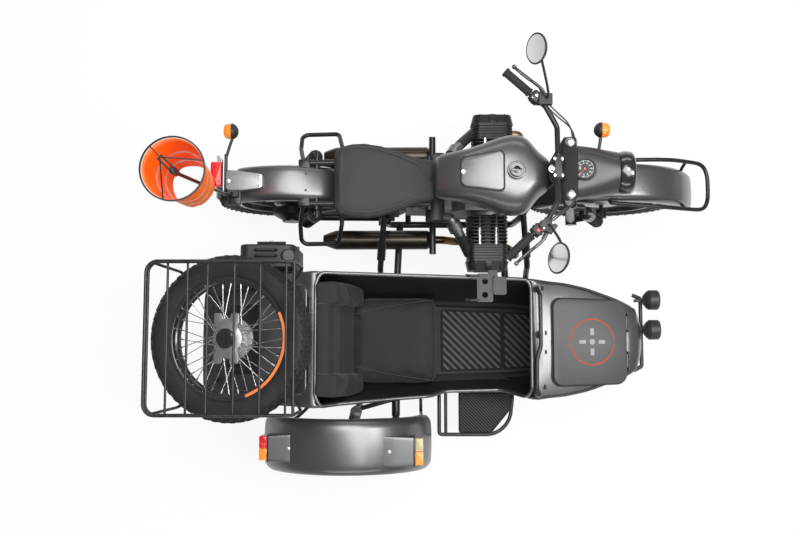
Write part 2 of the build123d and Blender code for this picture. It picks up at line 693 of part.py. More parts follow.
BAR_R = 11.0
BAR_X, BAR_Z = 452.0, 1042.0
with BuildPart() as handlebar:
    # risers on the upper yoke
    for y in both_sides(34):
        rod((458, y, 1003), (BAR_X, y, BAR_Z), 14)
    ends = []
    for side in (1, -1):
        ends.append(
            [
                (BAR_X, BIKE_Y + side * 60, BAR_Z),
                (BAR_X - 14, BIKE_Y + side * 150, BAR_Z + 74),
                (BAR_X - 60, BIKE_Y + side * 230, BAR_Z + 84),
                (BAR_X - 216, BIKE_Y + side * 374, BAR_Z + 72),
            ]
        )
    tube(list(reversed(ends[0])) + ends[1], 40, BAR_R)
    for side, points in zip((1, -1), ends):
        elbow, tip = Vector(*points[2]), Vector(*points[3])
        way = (tip - elbow).normalized()
        # grip with its end flange, switch box, lever and perch
        turned(tuple(tip - way * 128), tuple(way), [(0, 0), (0, 19), (6, 19), (6, 16), (124, 16), (124, 19), (132, 19), (132, 0)])
        turned(tuple(tip - way * 176), tuple(way), [(0, 0), (0, 23), (40, 23), (40, 0)])
        perch = tip - way * 186 + Vector(20, side * 6, 4)
        rod(tuple(tip - way * 192), tuple(perch + Vector(8, 0, 0)), 11)
        tube(
            [tuple(perch), tuple(perch + way * 60 + Vector(22, side * 16, -4)), tuple(perch + way * 196 + Vector(16, side * 14, -6))],
            30,
            6,
        )
        block(
            (perch.X - 30, perch.X + 22),
            (perch.Y - 22, perch.Y + 22),
            (perch.Z + 6, perch.Z + 32),
        )
    add([fork.part, nacelle.part], mode=Mode.SUBTRACT)
write(handlebar, "handlebar")

with BuildPart() as mirrors:
    # side, foot, head centre
    for side, foot, head in (
        (1, (392, 256, 1152), (328, 400, 1330)),
        (-1, (392, 250, 1152), (400, 399, 1330)),
    ):
        y0, y1 = BIKE_Y + side * foot[1], BIKE_Y + side * head[1]
        tube(
            [
                (foot[0], y0, foot[2]), (foot[0], y0 + side * 4, 1190),
                (head[0] + 24, y1 - side * 45, head[2] - 20), (head[0] + 8, y1, head[2]),
            ],
            22,
            5,
        )
        turned((head[0], y1, head[2]), (-0.84, -0.1 * side, 0.5), [(-22, 0), (-18, 40), (-4, 58), (0, 60), (4, 58), (4, 0)])
    add(handlebar.part, mode=Mode.SUBTRACT)
write(mirrors, "mirrors")

# ---------------------------------------------------------------- windsock
POLE_TOP = (-1007.0, 315.0, 1450.0)
POLE_FOOT = (-916.0, 352.0, 752.0)
SOCK_X, SOCK_Y = -1025.0, 333.0
MOUTH_Z, TAIL_Z = 1400.0, 1050.0
MOUTH_R, TAIL_R = 116.0, 90.0
CLOTH = 2.0
POLE_R = 7.0
with BuildPart() as windsock_pole:
    tube([POLE_FOOT, (-938, 338, 830), (POLE_TOP[0], POLE_TOP[1], POLE_TOP[2] - 40), POLE_TOP], 40, POLE_R)
    # split clamp on the tail bracket
    block(
        (POLE_FOOT[0] - 24, POLE_FOOT[0] + 22), (POLE_FOOT[1] - 14, POLE_FOOT[1] + 14),
        (BRACKET_TOP, BRACKET_TOP + 30),
    )
write(windsock_pole, "windsock_pole")

with BuildPart() as windsock_yoke:
    # cap that turns on the pole, and the arms out to the mouth ring
    turned(
        POLE_TOP, (0, 0, 1),
        [(-34, POLE_R + RUN_GAP), (-34, 14), (16, 14), (22, 8), (22, 0), (RUN_GAP, 0), (RUN_GAP, POLE_R + RUN_GAP)],
    )
    reach = Vector(SOCK_X - POLE_TOP[0], SOCK_Y - POLE_TOP[1], 0).normalized()
    across = reach.cross(Vector(0, 0, 1)) * 8
    tip = Vector(*POLE_TOP) + reach * 62 + Vector(0, 0, 34)
    for shift in (across, across * -1):
        hub = Vector(*POLE_TOP) + shift + Vector(0, 0, 10)
        rod(tuple(hub), tuple(tip + shift), 3.5)
    rod(tuple(tip - across * 1.6), tuple(tip + across * 1.6), 4)
    # bridles from the fork's tip to the mouth ring
    for turn in (15, 135, 255):
        way = Vector(math.cos(math.radians(turn)), math.sin(math.radians(turn)), 0)
        rod(tuple(tip), tuple(Vector(SOCK_X, SOCK_Y, MOUTH_Z + 6) + way * (MOUTH_R + 3)), 2.5)
    turned((SOCK_X, SOCK_Y, MOUTH_Z + 6), (0, 0, 1), [(-3, MOUTH_R), (-3, MOUTH_R + 6), (3, MOUTH_R + 6), (3, MOUTH_R)])
write(windsock_yoke, "windsock_yoke")

with BuildPart() as windsock:
    turned(
        (SOCK_X, SOCK_Y, TAIL_Z), (0, 0, 1),
        [(0, TAIL_R - CLOTH), (0, TAIL_R), (MOUTH_Z + 2.7 - TAIL_Z, MOUTH_R), (MOUTH_Z + 2.7 - TAIL_Z, MOUTH_R - CLOTH)],
    )
write(windsock, "windsock")

# ---------------------------------------------------------------- sidecar chassis
CHASSIS_Z = 245.0
RAILS_Y = (-95.0, -465.0)
CHASSIS_REAR_X, CHASSIS_FRONT_X = -560.0, 640.0
SWING_PIVOT = (-210.0, CHASSIS_Z + 20)
POST_X, POST_Y, POST_TOP = -385.0, -598.0, 600.0  # post that carries the wheel's damper
with BuildPart() as sidecar_frame:
    for x in (CHASSIS_FRONT_X, CHASSIS_REAR_X):
        tube([(0, RAILS_Y[0], CHASSIS_Z), (x, RAILS_Y[0], CHASSIS_Z), (x, RAILS_Y[1], CHASSIS_Z), (0, RAILS_Y[1], CHASSIS_Z)], 70, CAR_TUBE_R)
    # cross tubes: the wheel's pivot tube, and the front one
    rod((SWING_PIVOT[0], RAILS_Y[0], CHASSIS_Z), (SWING_PIVOT[0], -640, CHASSIS_Z), CAR_TUBE_R)
    rod((330, RAILS_Y[0], CHASSIS_Z), (330, RAILS_Y[1], CHASSIS_Z), 17)
    # lower struts to the motorcycle's bottom rails
    for x_car, x_bike in ((330, 310), (SWING_PIVOT[0], -190)):
        rod((x_car, RAILS_Y[0], CHASSIS_Z), (x_bike, BIKE_Y - RAIL_Y, RAIL_Z), 17)
    # upper struts, each with its turnbuckle
    for foot, top in (
        ((-283, RAILS_Y[0], CHASSIS_Z), (-262, BIKE_Y - RAIL_Y + 10, 520)),
        ((420, RAILS_Y[0], CHASSIS_Z), (372, BIKE_Y - RAIL_Y + 18, 560)),
    ):
        bend = (foot[0], 52, 400) if foot[0] < 0 else (foot[0] - 10, 70, 400)
        tube([foot, (foot[0], 34, CHASSIS_Z + 20), bend, top], 40, 14)
        way = Vector(*top) - Vector(*bend)
        turned(bend, tuple(way), [(50, 0), (50, 20), (130, 20), (130, 0)])
    # post that carries the wheel's damper, and its brace
    tube([(POST_X, RAILS_Y[1], CHASSIS_Z), (POST_X, POST_Y + 4, CHASSIS_Z + 8), (POST_X, POST_Y, POST_TOP)], 40, 17)
    rod((POST_X, POST_Y, 430), (SWING_PIVOT[0] - 6, -560, CHASSIS_Z), 11)
    turned((POST_X, POST_Y, POST_TOP), (0, 0, 1), [(-12, 0), (-12, 25), (6, 25), (6, 0)])
    # pads under the body
    for x in (-480, 0, 500):
        for y in RAILS_Y:
            block((x - 24, x + 24), (y - 16, y + 16), (CHASSIS_Z, 285))
    add(motorcycle_frame.part, mode=Mode.SUBTRACT)
    add(exhausts.part, mode=Mode.SUBTRACT)
write(sidecar_frame, "sidecar_frame")

with BuildPart() as sidecar_swingarm:
    y_pivot = -655.0
    tube(
        [
            (SWING_PIVOT[0], -640.3, CHASSIS_Z),
            (SWING_PIVOT[0], y_pivot - 12, CHASSIS_Z),
            (SWING_PIVOT[0] - 60, y_pivot - 12, CHASSIS_Z + 20),
            (CAR_AXLE_X, y_pivot - 12, AXLE_Z),
        ],
        11.5,
        17,
    )
    turned((CAR_AXLE_X, CAR_WHEEL_Y, AXLE_Z), (0, 1, 0), [(HUB_HALF + 6, 0), (HUB_HALF + 6, 30), (92, 30), (92, 0)])
    rod((CAR_AXLE_X, y_pivot, AXLE_Z), (CAR_AXLE_X, CAR_WHEEL_Y - HUB_HALF - 20, AXLE_Z), AXLE_R)
    turned((CAR_AXLE_X, CAR_WHEEL_Y - HUB_HALF - 6, AXLE_Z), (0, -1, 0), [(0, 0), (0, 17), (12, 17), (12, 0)])
    # spring and damper up to the post
    low, high = Vector(CAR_AXLE_X + 22, y_pivot - 6, AXLE_Z - 4), Vector(POST_X, POST_Y, POST_TOP - 12.3)
    way = high - low
    profile = [(0, 0), (0, 12), (24, 12), (28, 24)]
    for i in range(5):
        base = 36 + i * 28
        profile += [(base, 22), (base + 8, 26), (base + 15, 22), (base + 21, 19)]
    profile += [(182, 22), (182, 26), (way.length - 8, 26), (way.length - 8, 14), (way.length - 8, 0)]
    turned(tuple(low), tuple(way), profile)
    add(sidecar_frame.part, mode=Mode.SUBTRACT)
write(sidecar_swingarm, "sidecar_swingarm")

# ---------------------------------------------------------------- sidecar body
WALL = 12.0
TUB_FLOOR = 285.0
# x, half width at the top edge
PLAN = [
    (-1062, 215), (-1020, 268), (-700, 292), (-530, 294), (400, 272),
    (540, 262), (640, 243), (775, 200), (868, 158), (902, 96),
]
# height, inset of the sides, inset of the tail, inset of the nose
LEVELS = [
    (TUB_FLOOR, 118, 120, 175),
    (TUB_FLOOR + 60, 74, 60, 90),
    (520, 26, 8, 6),
    (790, -8, -6, -14),
]
DECK_SLOPE = 8.4  # of the nose deck, degrees down towards the front
TRUNK_SLOPE = 12.0  # of the trunk, degrees down towards the rear


INNER_LEVELS = [(TUB_FLOOR + WALL,) + LEVELS[0][1:]] + LEVELS[1:]


def outline_at(level, wall):
    """Plan outline of the tub at one level, drawn in by a wall's thickness."""
    z, side, tail, nose = level
    middle = -100.0
    rows = []
    for x, half in PLAN:
        pull = (tail + wall) if x < middle else (nose + wall)
        reach = abs(x - middle) / (1062 + middle if x < middle else 902 - middle)
        x_in = x + pull * reach if x < middle else x - pull * reach
        rows.append((x_in, max(half - side - wall, 20)))
    points = [(x, CAR_Y - half) for x, half in rows] + [(x, CAR_Y + half) for x, half in reversed(rows)]
    with BuildSketch(Plane.XY.offset(z)) as section:
        with BuildLine():
            Polyline(*points, close=True)
        make_face()
    return section.sketch


RIM_Z = 735.0
DECK_X = 386.0  # front edge of the cockpit
DECK_Z = 684.0  # nose deck at DECK_X
TRUNK_X = -560.0  # bulkhead behind the seat


def deck_z(x):
    return DECK_Z - (x - DECK_X) * math.tan(math.radians(DECK_SLOPE))


def trunk_z(x):
    return RIM_Z + 16 - (TRUNK_X - x) * math.tan(math.radians(TRUNK_SLOPE))


SILL_Z = 470.0
SKY = 900.0
top_line = [
    (-1100, trunk_z(-1100)), (TRUNK_X, trunk_z(TRUNK_X)), (TRUNK_X + 40, RIM_Z), (330, 700),
    (DECK_X, DECK_Z), (830, deck_z(830)), (885, deck_z(830) - 26), (925, 520), (960, 500),
]
PAD_REAR_X, PAD_FRONT_X = 478.0, 812.0
PAD_HALF_REAR, PAD_HALF_FRONT = 194.0, 182.0
PAD_GAP, PAD_THICK = 5.3, 13.0
slope = math.radians(DECK_SLOPE)
deck_plane = Plane(
    origin=(DECK_X, CAR_Y - 11, DECK_Z),
    x_dir=(math.cos(slope), 0, -math.sin(slope)),
    z_dir=(math.sin(slope), 0, math.cos(slope)),
)
pad_rear, pad_front = ((x - DECK_X) / math.cos(slope) for x in (PAD_REAR_X, PAD_FRONT_X))
HINGE_R = 5.0
HINGE_LIFT = PAD_GAP + PAD_THICK / 2
trunk = math.radians(TRUNK_SLOPE)
TRUNK_HINGE_X = TRUNK_X - 18
trunk_plane = Plane(
    origin=(TRUNK_HINGE_X, CAR_Y, trunk_z(TRUNK_HINGE_X)),
    x_dir=(math.cos(trunk), 0, math.sin(trunk)),
    z_dir=(-math.sin(trunk), 0, math.cos(trunk)),
)
HINGE_BORE = 2.5


def place(plane, x, y, z):
    """World place of a point given on a tilted plane."""
    return tuple(plane.from_local_coords(Vector(x, y, z)))


def hinge_pin(plane, x, y, lift):
    """Fixed half of a hinge: a pin held between two eyes on the body."""
    rod(place(plane, x, y - 40, lift), place(plane, x, y + 40, lift), HINGE_BORE)
    for end in (-36, 36):
        rod(place(plane, x, y + end - 5, lift), place(plane, x, y + end + 5, lift), HINGE_R)
        with BuildSketch(plane.offset(-1)) as foot:
            with Locations((x, y + end)):
                Rectangle(8, 10)
        extrude(foot.sketch, amount=lift + 1)


def hinge_knuckle(plane, x, y, lift, leaf):
    """Moving half of a hinge: a bored knuckle with its leaf back to the lid."""
    start, end = place(plane, x, y - 30, lift), place(plane, x, y + 30, lift)
    rod(start, end, HINGE_R)
    with BuildSketch(plane.offset(lift - 2.5)) as strap:
        with Locations((x + leaf / 2, y)):
            Rectangle(abs(leaf), 60)
    extrude(strap.sketch, amount=5)
    rod(start, end, HINGE_BORE + RUN_GAP, mode=Mode.SUBTRACT)


with BuildPart() as sidecar_tub:
    loft(sections=[outline_at(level, 0) for level in LEVELS], ruled=True)
    plate_xz(top_line + [(960, SKY), (-1100, SKY)], (CAR_Y - 330, CAR_Y + 330), mode=Mode.SUBTRACT)
    # hollow: cockpit with its foot room, and the trunk
    with BuildPart(mode=Mode.PRIVATE) as hollow:
        loft(sections=[outline_at(level, WALL) for level in INNER_LEVELS], ruled=True)
        plate_xz(
            [(TRUNK_X - WALL, 200), (TRUNK_X, 200), (TRUNK_X, SKY), (TRUNK_X - WALL, SKY)],
            (CAR_Y - 330, CAR_Y + 330),
            mode=Mode.SUBTRACT,
        )
        # decks stay as sheets over the nose and the trunk's edges
        plate_xz(
            [
                (DECK_X, SKY), (DECK_X, DECK_Z - WALL), (830, deck_z(830) - WALL),
                (885, deck_z(830) - 26 - WALL), (960, 480), (960, SKY),
            ],
            (CAR_Y - 330, CAR_Y + 330),
            mode=Mode.SUBTRACT,
        )
        plate_xz(
            [(-1100, SKY), (-1100, trunk_z(-1100) - WALL), (TRUNK_X - WALL, trunk_z(TRUNK_X - WALL) - WALL), (TRUNK_X - WALL, SKY)],
            (CAR_Y - 330, CAR_Y + 330),
            mode=Mode.SUBTRACT,
        )
    add(hollow.part, mode=Mode.SUBTRACT)
    # low sill on the entry side
    plate_xz(
        [(-500, RIM_Z - 30), (-240, 600), (-45, 540), (0, SILL_Z), (300, SILL_Z), (352, 560), (384, SKY), (-500, SKY)],
        (CAR_Y - 330, CAR_Y - 120),
        mode=Mode.SUBTRACT,
    )
    # hatch openings under the landing pad and the trunk lid
    plate_xy([(520, CAR_Y - 150), (780, CAR_Y - 120), (780, CAR_Y + 120), (520, CAR_Y + 150)], (560, SKY), bend=30, mode=Mode.SUBTRACT)
    plate_xy([(-980, CAR_Y - 190), (-610, CAR_Y - 220), (-610, CAR_Y + 220), (-980, CAR_Y + 190)], (560, SKY), bend=40, mode=Mode.SUBTRACT)
    for y in (-84, 84):
        hinge_pin(deck_plane, pad_front + 9, y, HINGE_LIFT)
    for y in (-150, 150):
        hinge_pin(trunk_plane, 0, y, HINGE_LIFT)
write(sidecar_tub, "sidecar_tub")

# ---------------------------------------------------------------- sidecar seat, mat, rail
FLOOR_TOP = TUB_FLOOR + WALL
with BuildPart() as seat_cushion:
    with BuildSketch(Plane(origin=(0, CAR_Y, 0), x_dir=(1, 0, 0), z_dir=(0, -1, 0))) as side_view:
        with BuildLine():
            FilletPolyline((-420, FLOOR_TOP), (-420, 440), (-60, 470), (-20, 455), (-20, FLOOR_TOP), radius=18, close=True)
        make_face()
    extrude(side_view.sketch, amount=196, both=True)
    loft(sections=[outline_at(level, WALL + SEAT_GAP) for level in INNER_LEVELS], ruled=True, mode=Mode.INTERSECT)
write(seat_cushion, "seat_cushion")

with BuildPart() as seat_backrest:
    for low, high, front in (((-240, 240), (-553, -480), -395), ((-252, -150), (-553, -440), -352), ((150, 252), (-553, -440), -352)):
        plate_xz(
            [(TRUNK_X, 474), (front, 474), (front - 60, 640), (high[1], 775), (TRUNK_X + 5, 775), (TRUNK_X + 5, RIM_Z + 20), (TRUNK_X, RIM_Z + 10)],
            (CAR_Y + low[0], CAR_Y + low[1]),
        )
    loft(sections=[outline_at(level, WALL + SEAT_GAP) for level in INNER_LEVELS], ruled=True, mode=Mode.INTERSECT)
    add(sidecar_tub.part, mode=Mode.SUBTRACT)
write(seat_backrest, "seat_backrest")

with BuildPart() as floor_mat:
    plate_xy([(5, CAR_Y - 150), (300, CAR_Y - 140), (300, CAR_Y + 140), (5, CAR_Y + 150)], (FLOOR_TOP, FLOOR_TOP + 8), bend=20)
    for x in range(40, 280, 30):
        block((x, x + 10), (CAR_Y - 120, CAR_Y + 120), (FLOOR_TOP + 8, FLOOR_TOP + 13))
write(floor_mat, "floor_mat")

RAIL_R = 9.0
with BuildPart() as grab_rail:
    tube(
        [
            (405, CAR_Y + 225, DECK_Z + 40), (418, CAR_Y + 190, DECK_Z + 56), (418, CAR_Y - 30, DECK_Z + 56),
            (400, CAR_Y - 90, DECK_Z + 56), (400, CAR_Y - 215, DECK_Z + 48), (412, CAR_Y - 240, DECK_Z + 30),
        ],
        22,
        RAIL_R,
    )
    for x, y, top in ((405, 222, 42), (418, 20, 56), (412, -237, 32)):
        rod((x, CAR_Y + y, deck_z(x)), (x, CAR_Y + y, DECK_Z + top), RAIL_R)
        turned((x, CAR_Y + y, deck_z(x)), (0, 0, 1), [(-2, 0), (-2, 17), (8, 17), (8, 0)])
    add(sidecar_tub.part, mode=Mode.SUBTRACT)
write(grab_rail, "grab_rail")

with BuildPart() as controller_holder:
    # arm clamped on the body's edge, and the plate that holds a flight controller
    arm_y = CAR_Y + 266
    block((196, 236), (arm_y, CAR_Y + 300), (690, 724))
    rod((216, arm_y + 4, 707), (216, arm_y - 26, 812), 9)
    plate_xy([(138, arm_y - 110), (206, arm_y - 110), (206, arm_y + 12), (138, arm_y + 12)], (812, 820), bend=8)
    plate_xy([(206, arm_y - 80), (262, arm_y - 80), (262, arm_y - 4), (206, arm_y - 4)], (806, 832), bend=10)
    for y in (arm_y - 80, arm_y - 22):
        rod((172, y, 800), (172, y, 840), 13, mode=Mode.SUBTRACT)
    for y in (arm_y - 102, arm_y + 2):
        tube([(150, y, 816), (104, y, 816), (92, y, 844)], 14, 6)
    add(sidecar_tub.part, mode=Mode.SUBTRACT)
write(controller_holder, "controller_holder")

# ---------------------------------------------------------------- nose: fog lamps and pad
with BuildPart() as fog_lamps:
    for y in (CAR_Y + 180, CAR_Y + 45):
        turned((915, y, 545), (1, 0, 0), [(0, 0), (0, 22), (14, 38), (24, 45), (62, 45), (68, 40), (68, 34), (60, 32), (66, 0)])
        block((890, 944), (y - 7, y + 7), (470, 512))
        rod((930, y, 512), (930, y, 545), 8)
    tube([(880, CAR_Y + 205, 486), (917, CAR_Y + 190, 486), (917, CAR_Y - 120, 486), (880, CAR_Y - 140, 486)], 12, 9)
    add(sidecar_tub.part, mode=Mode.SUBTRACT)
write(fog_lamps, "fog_lamps")

with BuildPart() as pad_lid:
    with BuildSketch(deck_plane.offset(PAD_GAP)) as outline:
        with BuildLine():
            FilletPolyline(
                (pad_rear, -PAD_HALF_REAR), (pad_front, -PAD_HALF_FRONT),
                (pad_front, PAD_HALF_FRONT), (pad_rear, PAD_HALF_REAR),
                radius=44, close=True,
            )
        make_face()
    extrude(outline.sketch, amount=PAD_THICK)
    for y in (-84, 84):
        hinge_knuckle(deck_plane, pad_front + 9, y, HINGE_LIFT, -16)
write(pad_lid, "pad_lid")

# ---------------------------------------------------------------- trunk lid, spare, rack
SPARE_BACK, SPARE_LIFT = -282.0, 200.0  # centre of the spare on the trunk's plane
with BuildPart() as trunk_lid:
    with BuildSketch(trunk_plane.offset(PAD_GAP)) as outline:
        with BuildLine():
            FilletPolyline((-430, -215), (-9, -245), (-9, 245), (-430, 215), radius=46, close=True)
        make_face()
    extrude(outline.sketch, amount=PAD_THICK)
    for y in (-150, 150):
        hinge_knuckle(trunk_plane, 0, y, HINGE_LIFT, -16)
    # carrier: a raised box, the stud through the hub, and the hub nut
    with BuildSketch(trunk_plane.offset(PAD_GAP + PAD_THICK)) as seat:
        with Locations((SPARE_BACK, 0)):
            RectangleRounded(120, 300, 20)
    extrude(seat.sketch, amount=SPARE_LIFT - HUB_HALF - SEAT_GAP - PAD_GAP - PAD_THICK, taper=12)
    foot = place(trunk_plane, SPARE_BACK, 0, SPARE_LIFT - HUB_HALF - 10)
    cap = place(trunk_plane, SPARE_BACK, 0, SPARE_LIFT + HUB_HALF + 20)
    rod(foot, cap, AXLE_R)
    turned(
        place(trunk_plane, SPARE_BACK, 0, SPARE_LIFT + HUB_HALF + SEAT_GAP),
        tuple(trunk_plane.z_dir),
        [(0, 0), (0, 42), (18, 42), (24, 36), (24, 0)],
    )
write(trunk_lid, "trunk_lid")

spare_at = Plane(
    origin=place(trunk_plane, SPARE_BACK, 0, SPARE_LIFT), x_dir=trunk_plane.x_dir, z_dir=-trunk_plane.y_dir
)
with BuildPart() as spare_wheel:
    add(wire_wheel.part.moved(spare_at.location))
    add(tyre.part.moved(spare_at.location))
write(spare_wheel, "spare_wheel")

RACK_Z, RACK_UP = 1050.0, 34.0
RACK_FRONT_X, RACK_REAR_X = -614.0, -1200.0
RACK_HALF = 305.0
BAR_XS = (-1121.0, -1041.0, -961.0, -853.0, -749.0, -645.0)
with BuildPart() as luggage_rack:
    for z, front in ((RACK_Z, RACK_FRONT_X), (RACK_Z + RACK_UP, RACK_FRONT_X - 40)):
        tube(
            [
                (front, CAR_Y - RACK_HALF, z), (RACK_REAR_X, CAR_Y - RACK_HALF, z),
                (RACK_REAR_X, CAR_Y + RACK_HALF, z), (front, CAR_Y + RACK_HALF, z),
            ],
            46,
            6.5,
        )
    rod((RACK_FRONT_X, CAR_Y - RACK_HALF, RACK_Z), (RACK_FRONT_X, CAR_Y + RACK_HALF, RACK_Z), 6.5)
    for x in BAR_XS:
        rod((x, CAR_Y - RACK_HALF, RACK_Z), (x, CAR_Y + RACK_HALF, RACK_Z), 5)
    for x in BAR_XS[::2] + (RACK_FRONT_X - 40,):
        for y in (CAR_Y - RACK_HALF, CAR_Y + RACK_HALF):
            rod((x, y, RACK_Z), (x, y, RACK_Z + RACK_UP), 5)
    # four legs that pass outside the spare and turn in under it to the lid
    lid_top = PAD_GAP + PAD_THICK
    for side in (-1, 1):
        corner = (RACK_FRONT_X, CAR_Y + side * RACK_HALF, RACK_Z)
        tube([corner, place(trunk_plane, -6, side * 300, 96), place(trunk_plane, -70, side * 212, 70), place(trunk_plane, -84, side * 200, lid_top)], 20, 6.5)
        corner = (RACK_REAR_X + 14, CAR_Y + side * (RACK_HALF - 2), RACK_Z)
        tube([corner, place(trunk_plane, -560, side * 292, 96), place(trunk_plane, -400, side * 180, 70), place(trunk_plane, -392, side * 172, lid_top)], 20, 6.5)
    # feet cut off flush with the lid
    with BuildSketch(trunk_plane.offset(lid_top)) as below:
        with Locations((-300, 0)):
            Rectangle(900, 700)
    extrude(below.sketch, amount=-40, mode=Mode.SUBTRACT)
write(luggage_rack, "luggage_rack")

# ---------------------------------------------------------------- fuel can
CAN_X, CAN_Y, CAN_Z = (-900.0, -655.0), (34.0, 140.0), (285.0, 690.0)
with BuildPart() as fuel_can:
    block(CAN_X, CAN_Y, CAN_Z)
    fillet(fuel_can.edges().filter_by(Axis.Y), 42)
    fillet(fuel_can.faces().filter_by(Axis.Y).edges(), 10)
    # three carrying bars and the spout cap
    mid = (CAN_Y[0] + CAN_Y[1]) / 2
    for y in (mid - 26, mid, mid + 26):
        tube([(-830, y, CAN_Z[1] - 4), (-822, y, CAN_Z[1] + 26), (-742, y, CAN_Z[1] + 26), (-734, y, CAN_Z[1] - 4)], 12, 6)
    turned((-690, mid, CAN_Z[1] - 22), (0.3, 0, 1), [(0, 0), (0, 30), (34, 30), (38, 26), (38, 0)])
    # carrier: a shelf and back plate on the tub's side, strap, and T-screw
    block((CAN_X[0] + 10, CAN_X[1] - 10), (-60, CAN_Y[1]), (CAN_Z[0] - 14, CAN_Z[0] + 6))
    for x in (CAN_X[0] + 50, CAN_X[1] - 70):
        block((x, x + 20), (-60, CAN_Y[0] + 4), (520, 560))
    block((CAN_X[0] - 4, CAN_X[1] + 4), (CAN_Y[0] - 8, CAN_Y[1] + 4), (530, 552))
    rod((-840, CAN_Y[1] + 20, 560), (-710, CAN_Y[1] + 20, 560), 6)
    rod((-775, CAN_Y[1], 548), (-775, CAN_Y[1] + 20, 560), 8)
    add(sidecar_tub.part, mode=Mode.SUBTRACT)
    with BuildPart(mode=Mode.PRIVATE) as tub_space:
        loft(sections=[outline_at(level, 0) for level in LEVELS], ruled=True)
    add(tub_space.part, mode=Mode.SUBTRACT)
write(fuel_can, "fuel_can")

# ---------------------------------------------------------------- sidecar wheel's fender
CAR_FENDER_R, CAR_FENDER_HALF, CAR_FENDER_SKIRT = 392.0, 120.0, 60.0
with BuildPart() as sidecar_fender:
    fender((CAR_AXLE_X, CAR_WHEEL_Y, AXLE_Z), CAR_FENDER_R, CAR_FENDER_HALF, CAR_FENDER_SKIRT, -86.0, 80.0)
    inner_y = CAR_WHEEL_Y + CAR_FENDER_HALF
    # stays from the chassis: front, rear, and at the damper post
    tube([(-90, RAILS_Y[1] - 6, CHASSIS_Z), (-90, inner_y - 2, 262), (-90, inner_y - 2, 500)], 20, 8)
    tube([(CHASSIS_REAR_X + 40, RAILS_Y[1] - 6, CHASSIS_Z), (-700, inner_y - 40, 300), (-770, inner_y - 2, 420)], 20, 8)
    block((POST_X - 20, POST_X + 20), (inner_y - 2, inner_y + 4), (640, 712))
    block((POST_X - 20, POST_X + 20), (POST_Y - 16, inner_y + 4), (POST_TOP + 6, POST_TOP + 12))
    block((POST_X - 20, POST_X + 20), (inner_y - 2, inner_y + 4), (POST_TOP + 6, 700))
    add(sidecar_frame.part, mode=Mode.SUBTRACT)
    add(sidecar_tub.part, mode=Mode.SUBTRACT)
write(sidecar_fender, "sidecar_fender")

with BuildPart() as fender_lamps:
    for x, y, z, ahead in (((-262, -132), (-830, -700), (560, 706), 1), ((-764, -650), (-814, -695), (520, 660), -1)):
        block(x, y, z)
        edge = x[1] if ahead > 0 else x[0]
        # lens in two fields, and the dark gasket behind it
        block((min(edge, edge + ahead * 8), max(edge, edge + ahead * 8)), (y[0] - 2, y[1] + 2), (z[0] + 20, z[1] - 6))
        block((min(edge, edge + ahead * 44), max(edge, edge + ahead * 44)), (y[0] + 6, y[1] - 6), (z[0] + 28, z[1] - 14))
    # the fender's body and the room below it stay free
    turned(
        (CAR_AXLE_X, CAR_WHEEL_Y, AXLE_Z), (0, 1, 0),
        [(-116, 0), (-116, 372), (-86, 388), (0, 391), (86, 388), (116, 372), (116, 0)],
        mode=Mode.SUBTRACT,
    )
    add(sidecar_fender.part, mode=Mode.SUBTRACT)
write(fender_lamps, "fender_lamps")

# ---------------------------------------------------------------- step
STEP_Z, STEP_OUT = 330.0, -722.0
with BuildPart() as step:
    outer = [
        (-5, RAILS_Y[1], CHASSIS_Z + 4), (-5, -512, 300), (-5, -545, STEP_Z), (-5, STEP_OUT, STEP_Z),
        (322, STEP_OUT, STEP_Z), (342, -545, STEP_Z), (342, -512, 300), (342, RAILS_Y[1], CHASSIS_Z + 4),
    ]
    with BuildLine() as path:
        FilletPolyline(*outer, radius=[20, 20, 14, 120, 40, 20])
    with BuildSketch(Plane(origin=path.line @ 0, z_dir=path.line % 0)) as ring:
        Circle(9)
    sweep(sections=ring.sketch, path=path.line)
    rod((26, -512, STEP_Z - 4), (26, STEP_OUT, STEP_Z - 4), 8)
    rod((-5, -512, 302), (342, -512, 302), 8)
    rod((26, -512, 302), (26, -512, STEP_Z - 4), 8)
    # rubber tread plate with its slanting ribs
    plate_xy([(86, -522), (336, -522), (336, -600), (240, -716), (86, -716)], (STEP_Z - 4, STEP_Z + 6), bend=16)
    block((86, 330), (-530, -512), (STEP_Z - 28, STEP_Z - 4))
    add(sidecar_frame.part, mode=Mode.SUBTRACT)
write(step, "step")
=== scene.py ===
import math

import bmesh
import bpy
import numpy as np
from mathutils import Matrix, Vector


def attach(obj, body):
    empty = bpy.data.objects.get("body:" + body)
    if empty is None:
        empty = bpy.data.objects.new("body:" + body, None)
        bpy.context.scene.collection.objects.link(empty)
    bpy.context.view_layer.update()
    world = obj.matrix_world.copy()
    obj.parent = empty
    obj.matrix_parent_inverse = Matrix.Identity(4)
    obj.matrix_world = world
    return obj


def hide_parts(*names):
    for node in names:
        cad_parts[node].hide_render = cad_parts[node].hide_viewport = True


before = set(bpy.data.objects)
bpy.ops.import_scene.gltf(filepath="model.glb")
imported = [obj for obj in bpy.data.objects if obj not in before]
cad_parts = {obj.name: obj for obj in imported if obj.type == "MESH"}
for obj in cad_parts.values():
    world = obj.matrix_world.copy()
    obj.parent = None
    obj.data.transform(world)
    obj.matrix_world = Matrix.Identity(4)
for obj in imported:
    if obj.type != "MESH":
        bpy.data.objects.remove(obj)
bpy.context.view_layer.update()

# ------------ camera, lights, floor
# The camera hangs above the machine and looks almost straight down. One broad soft box
# hangs over it, a long strip lights each side, and the floor is a pale sweep that runs to white.
def placed(name, data, location=(0, 0, 0), rotation=(0, 0, 0)):
    """A new object, linked into the scene."""
    made = bpy.data.objects.new(name, data)
    made.location, made.rotation_euler = location, rotation
    bpy.context.scene.collection.objects.link(made)
    return made


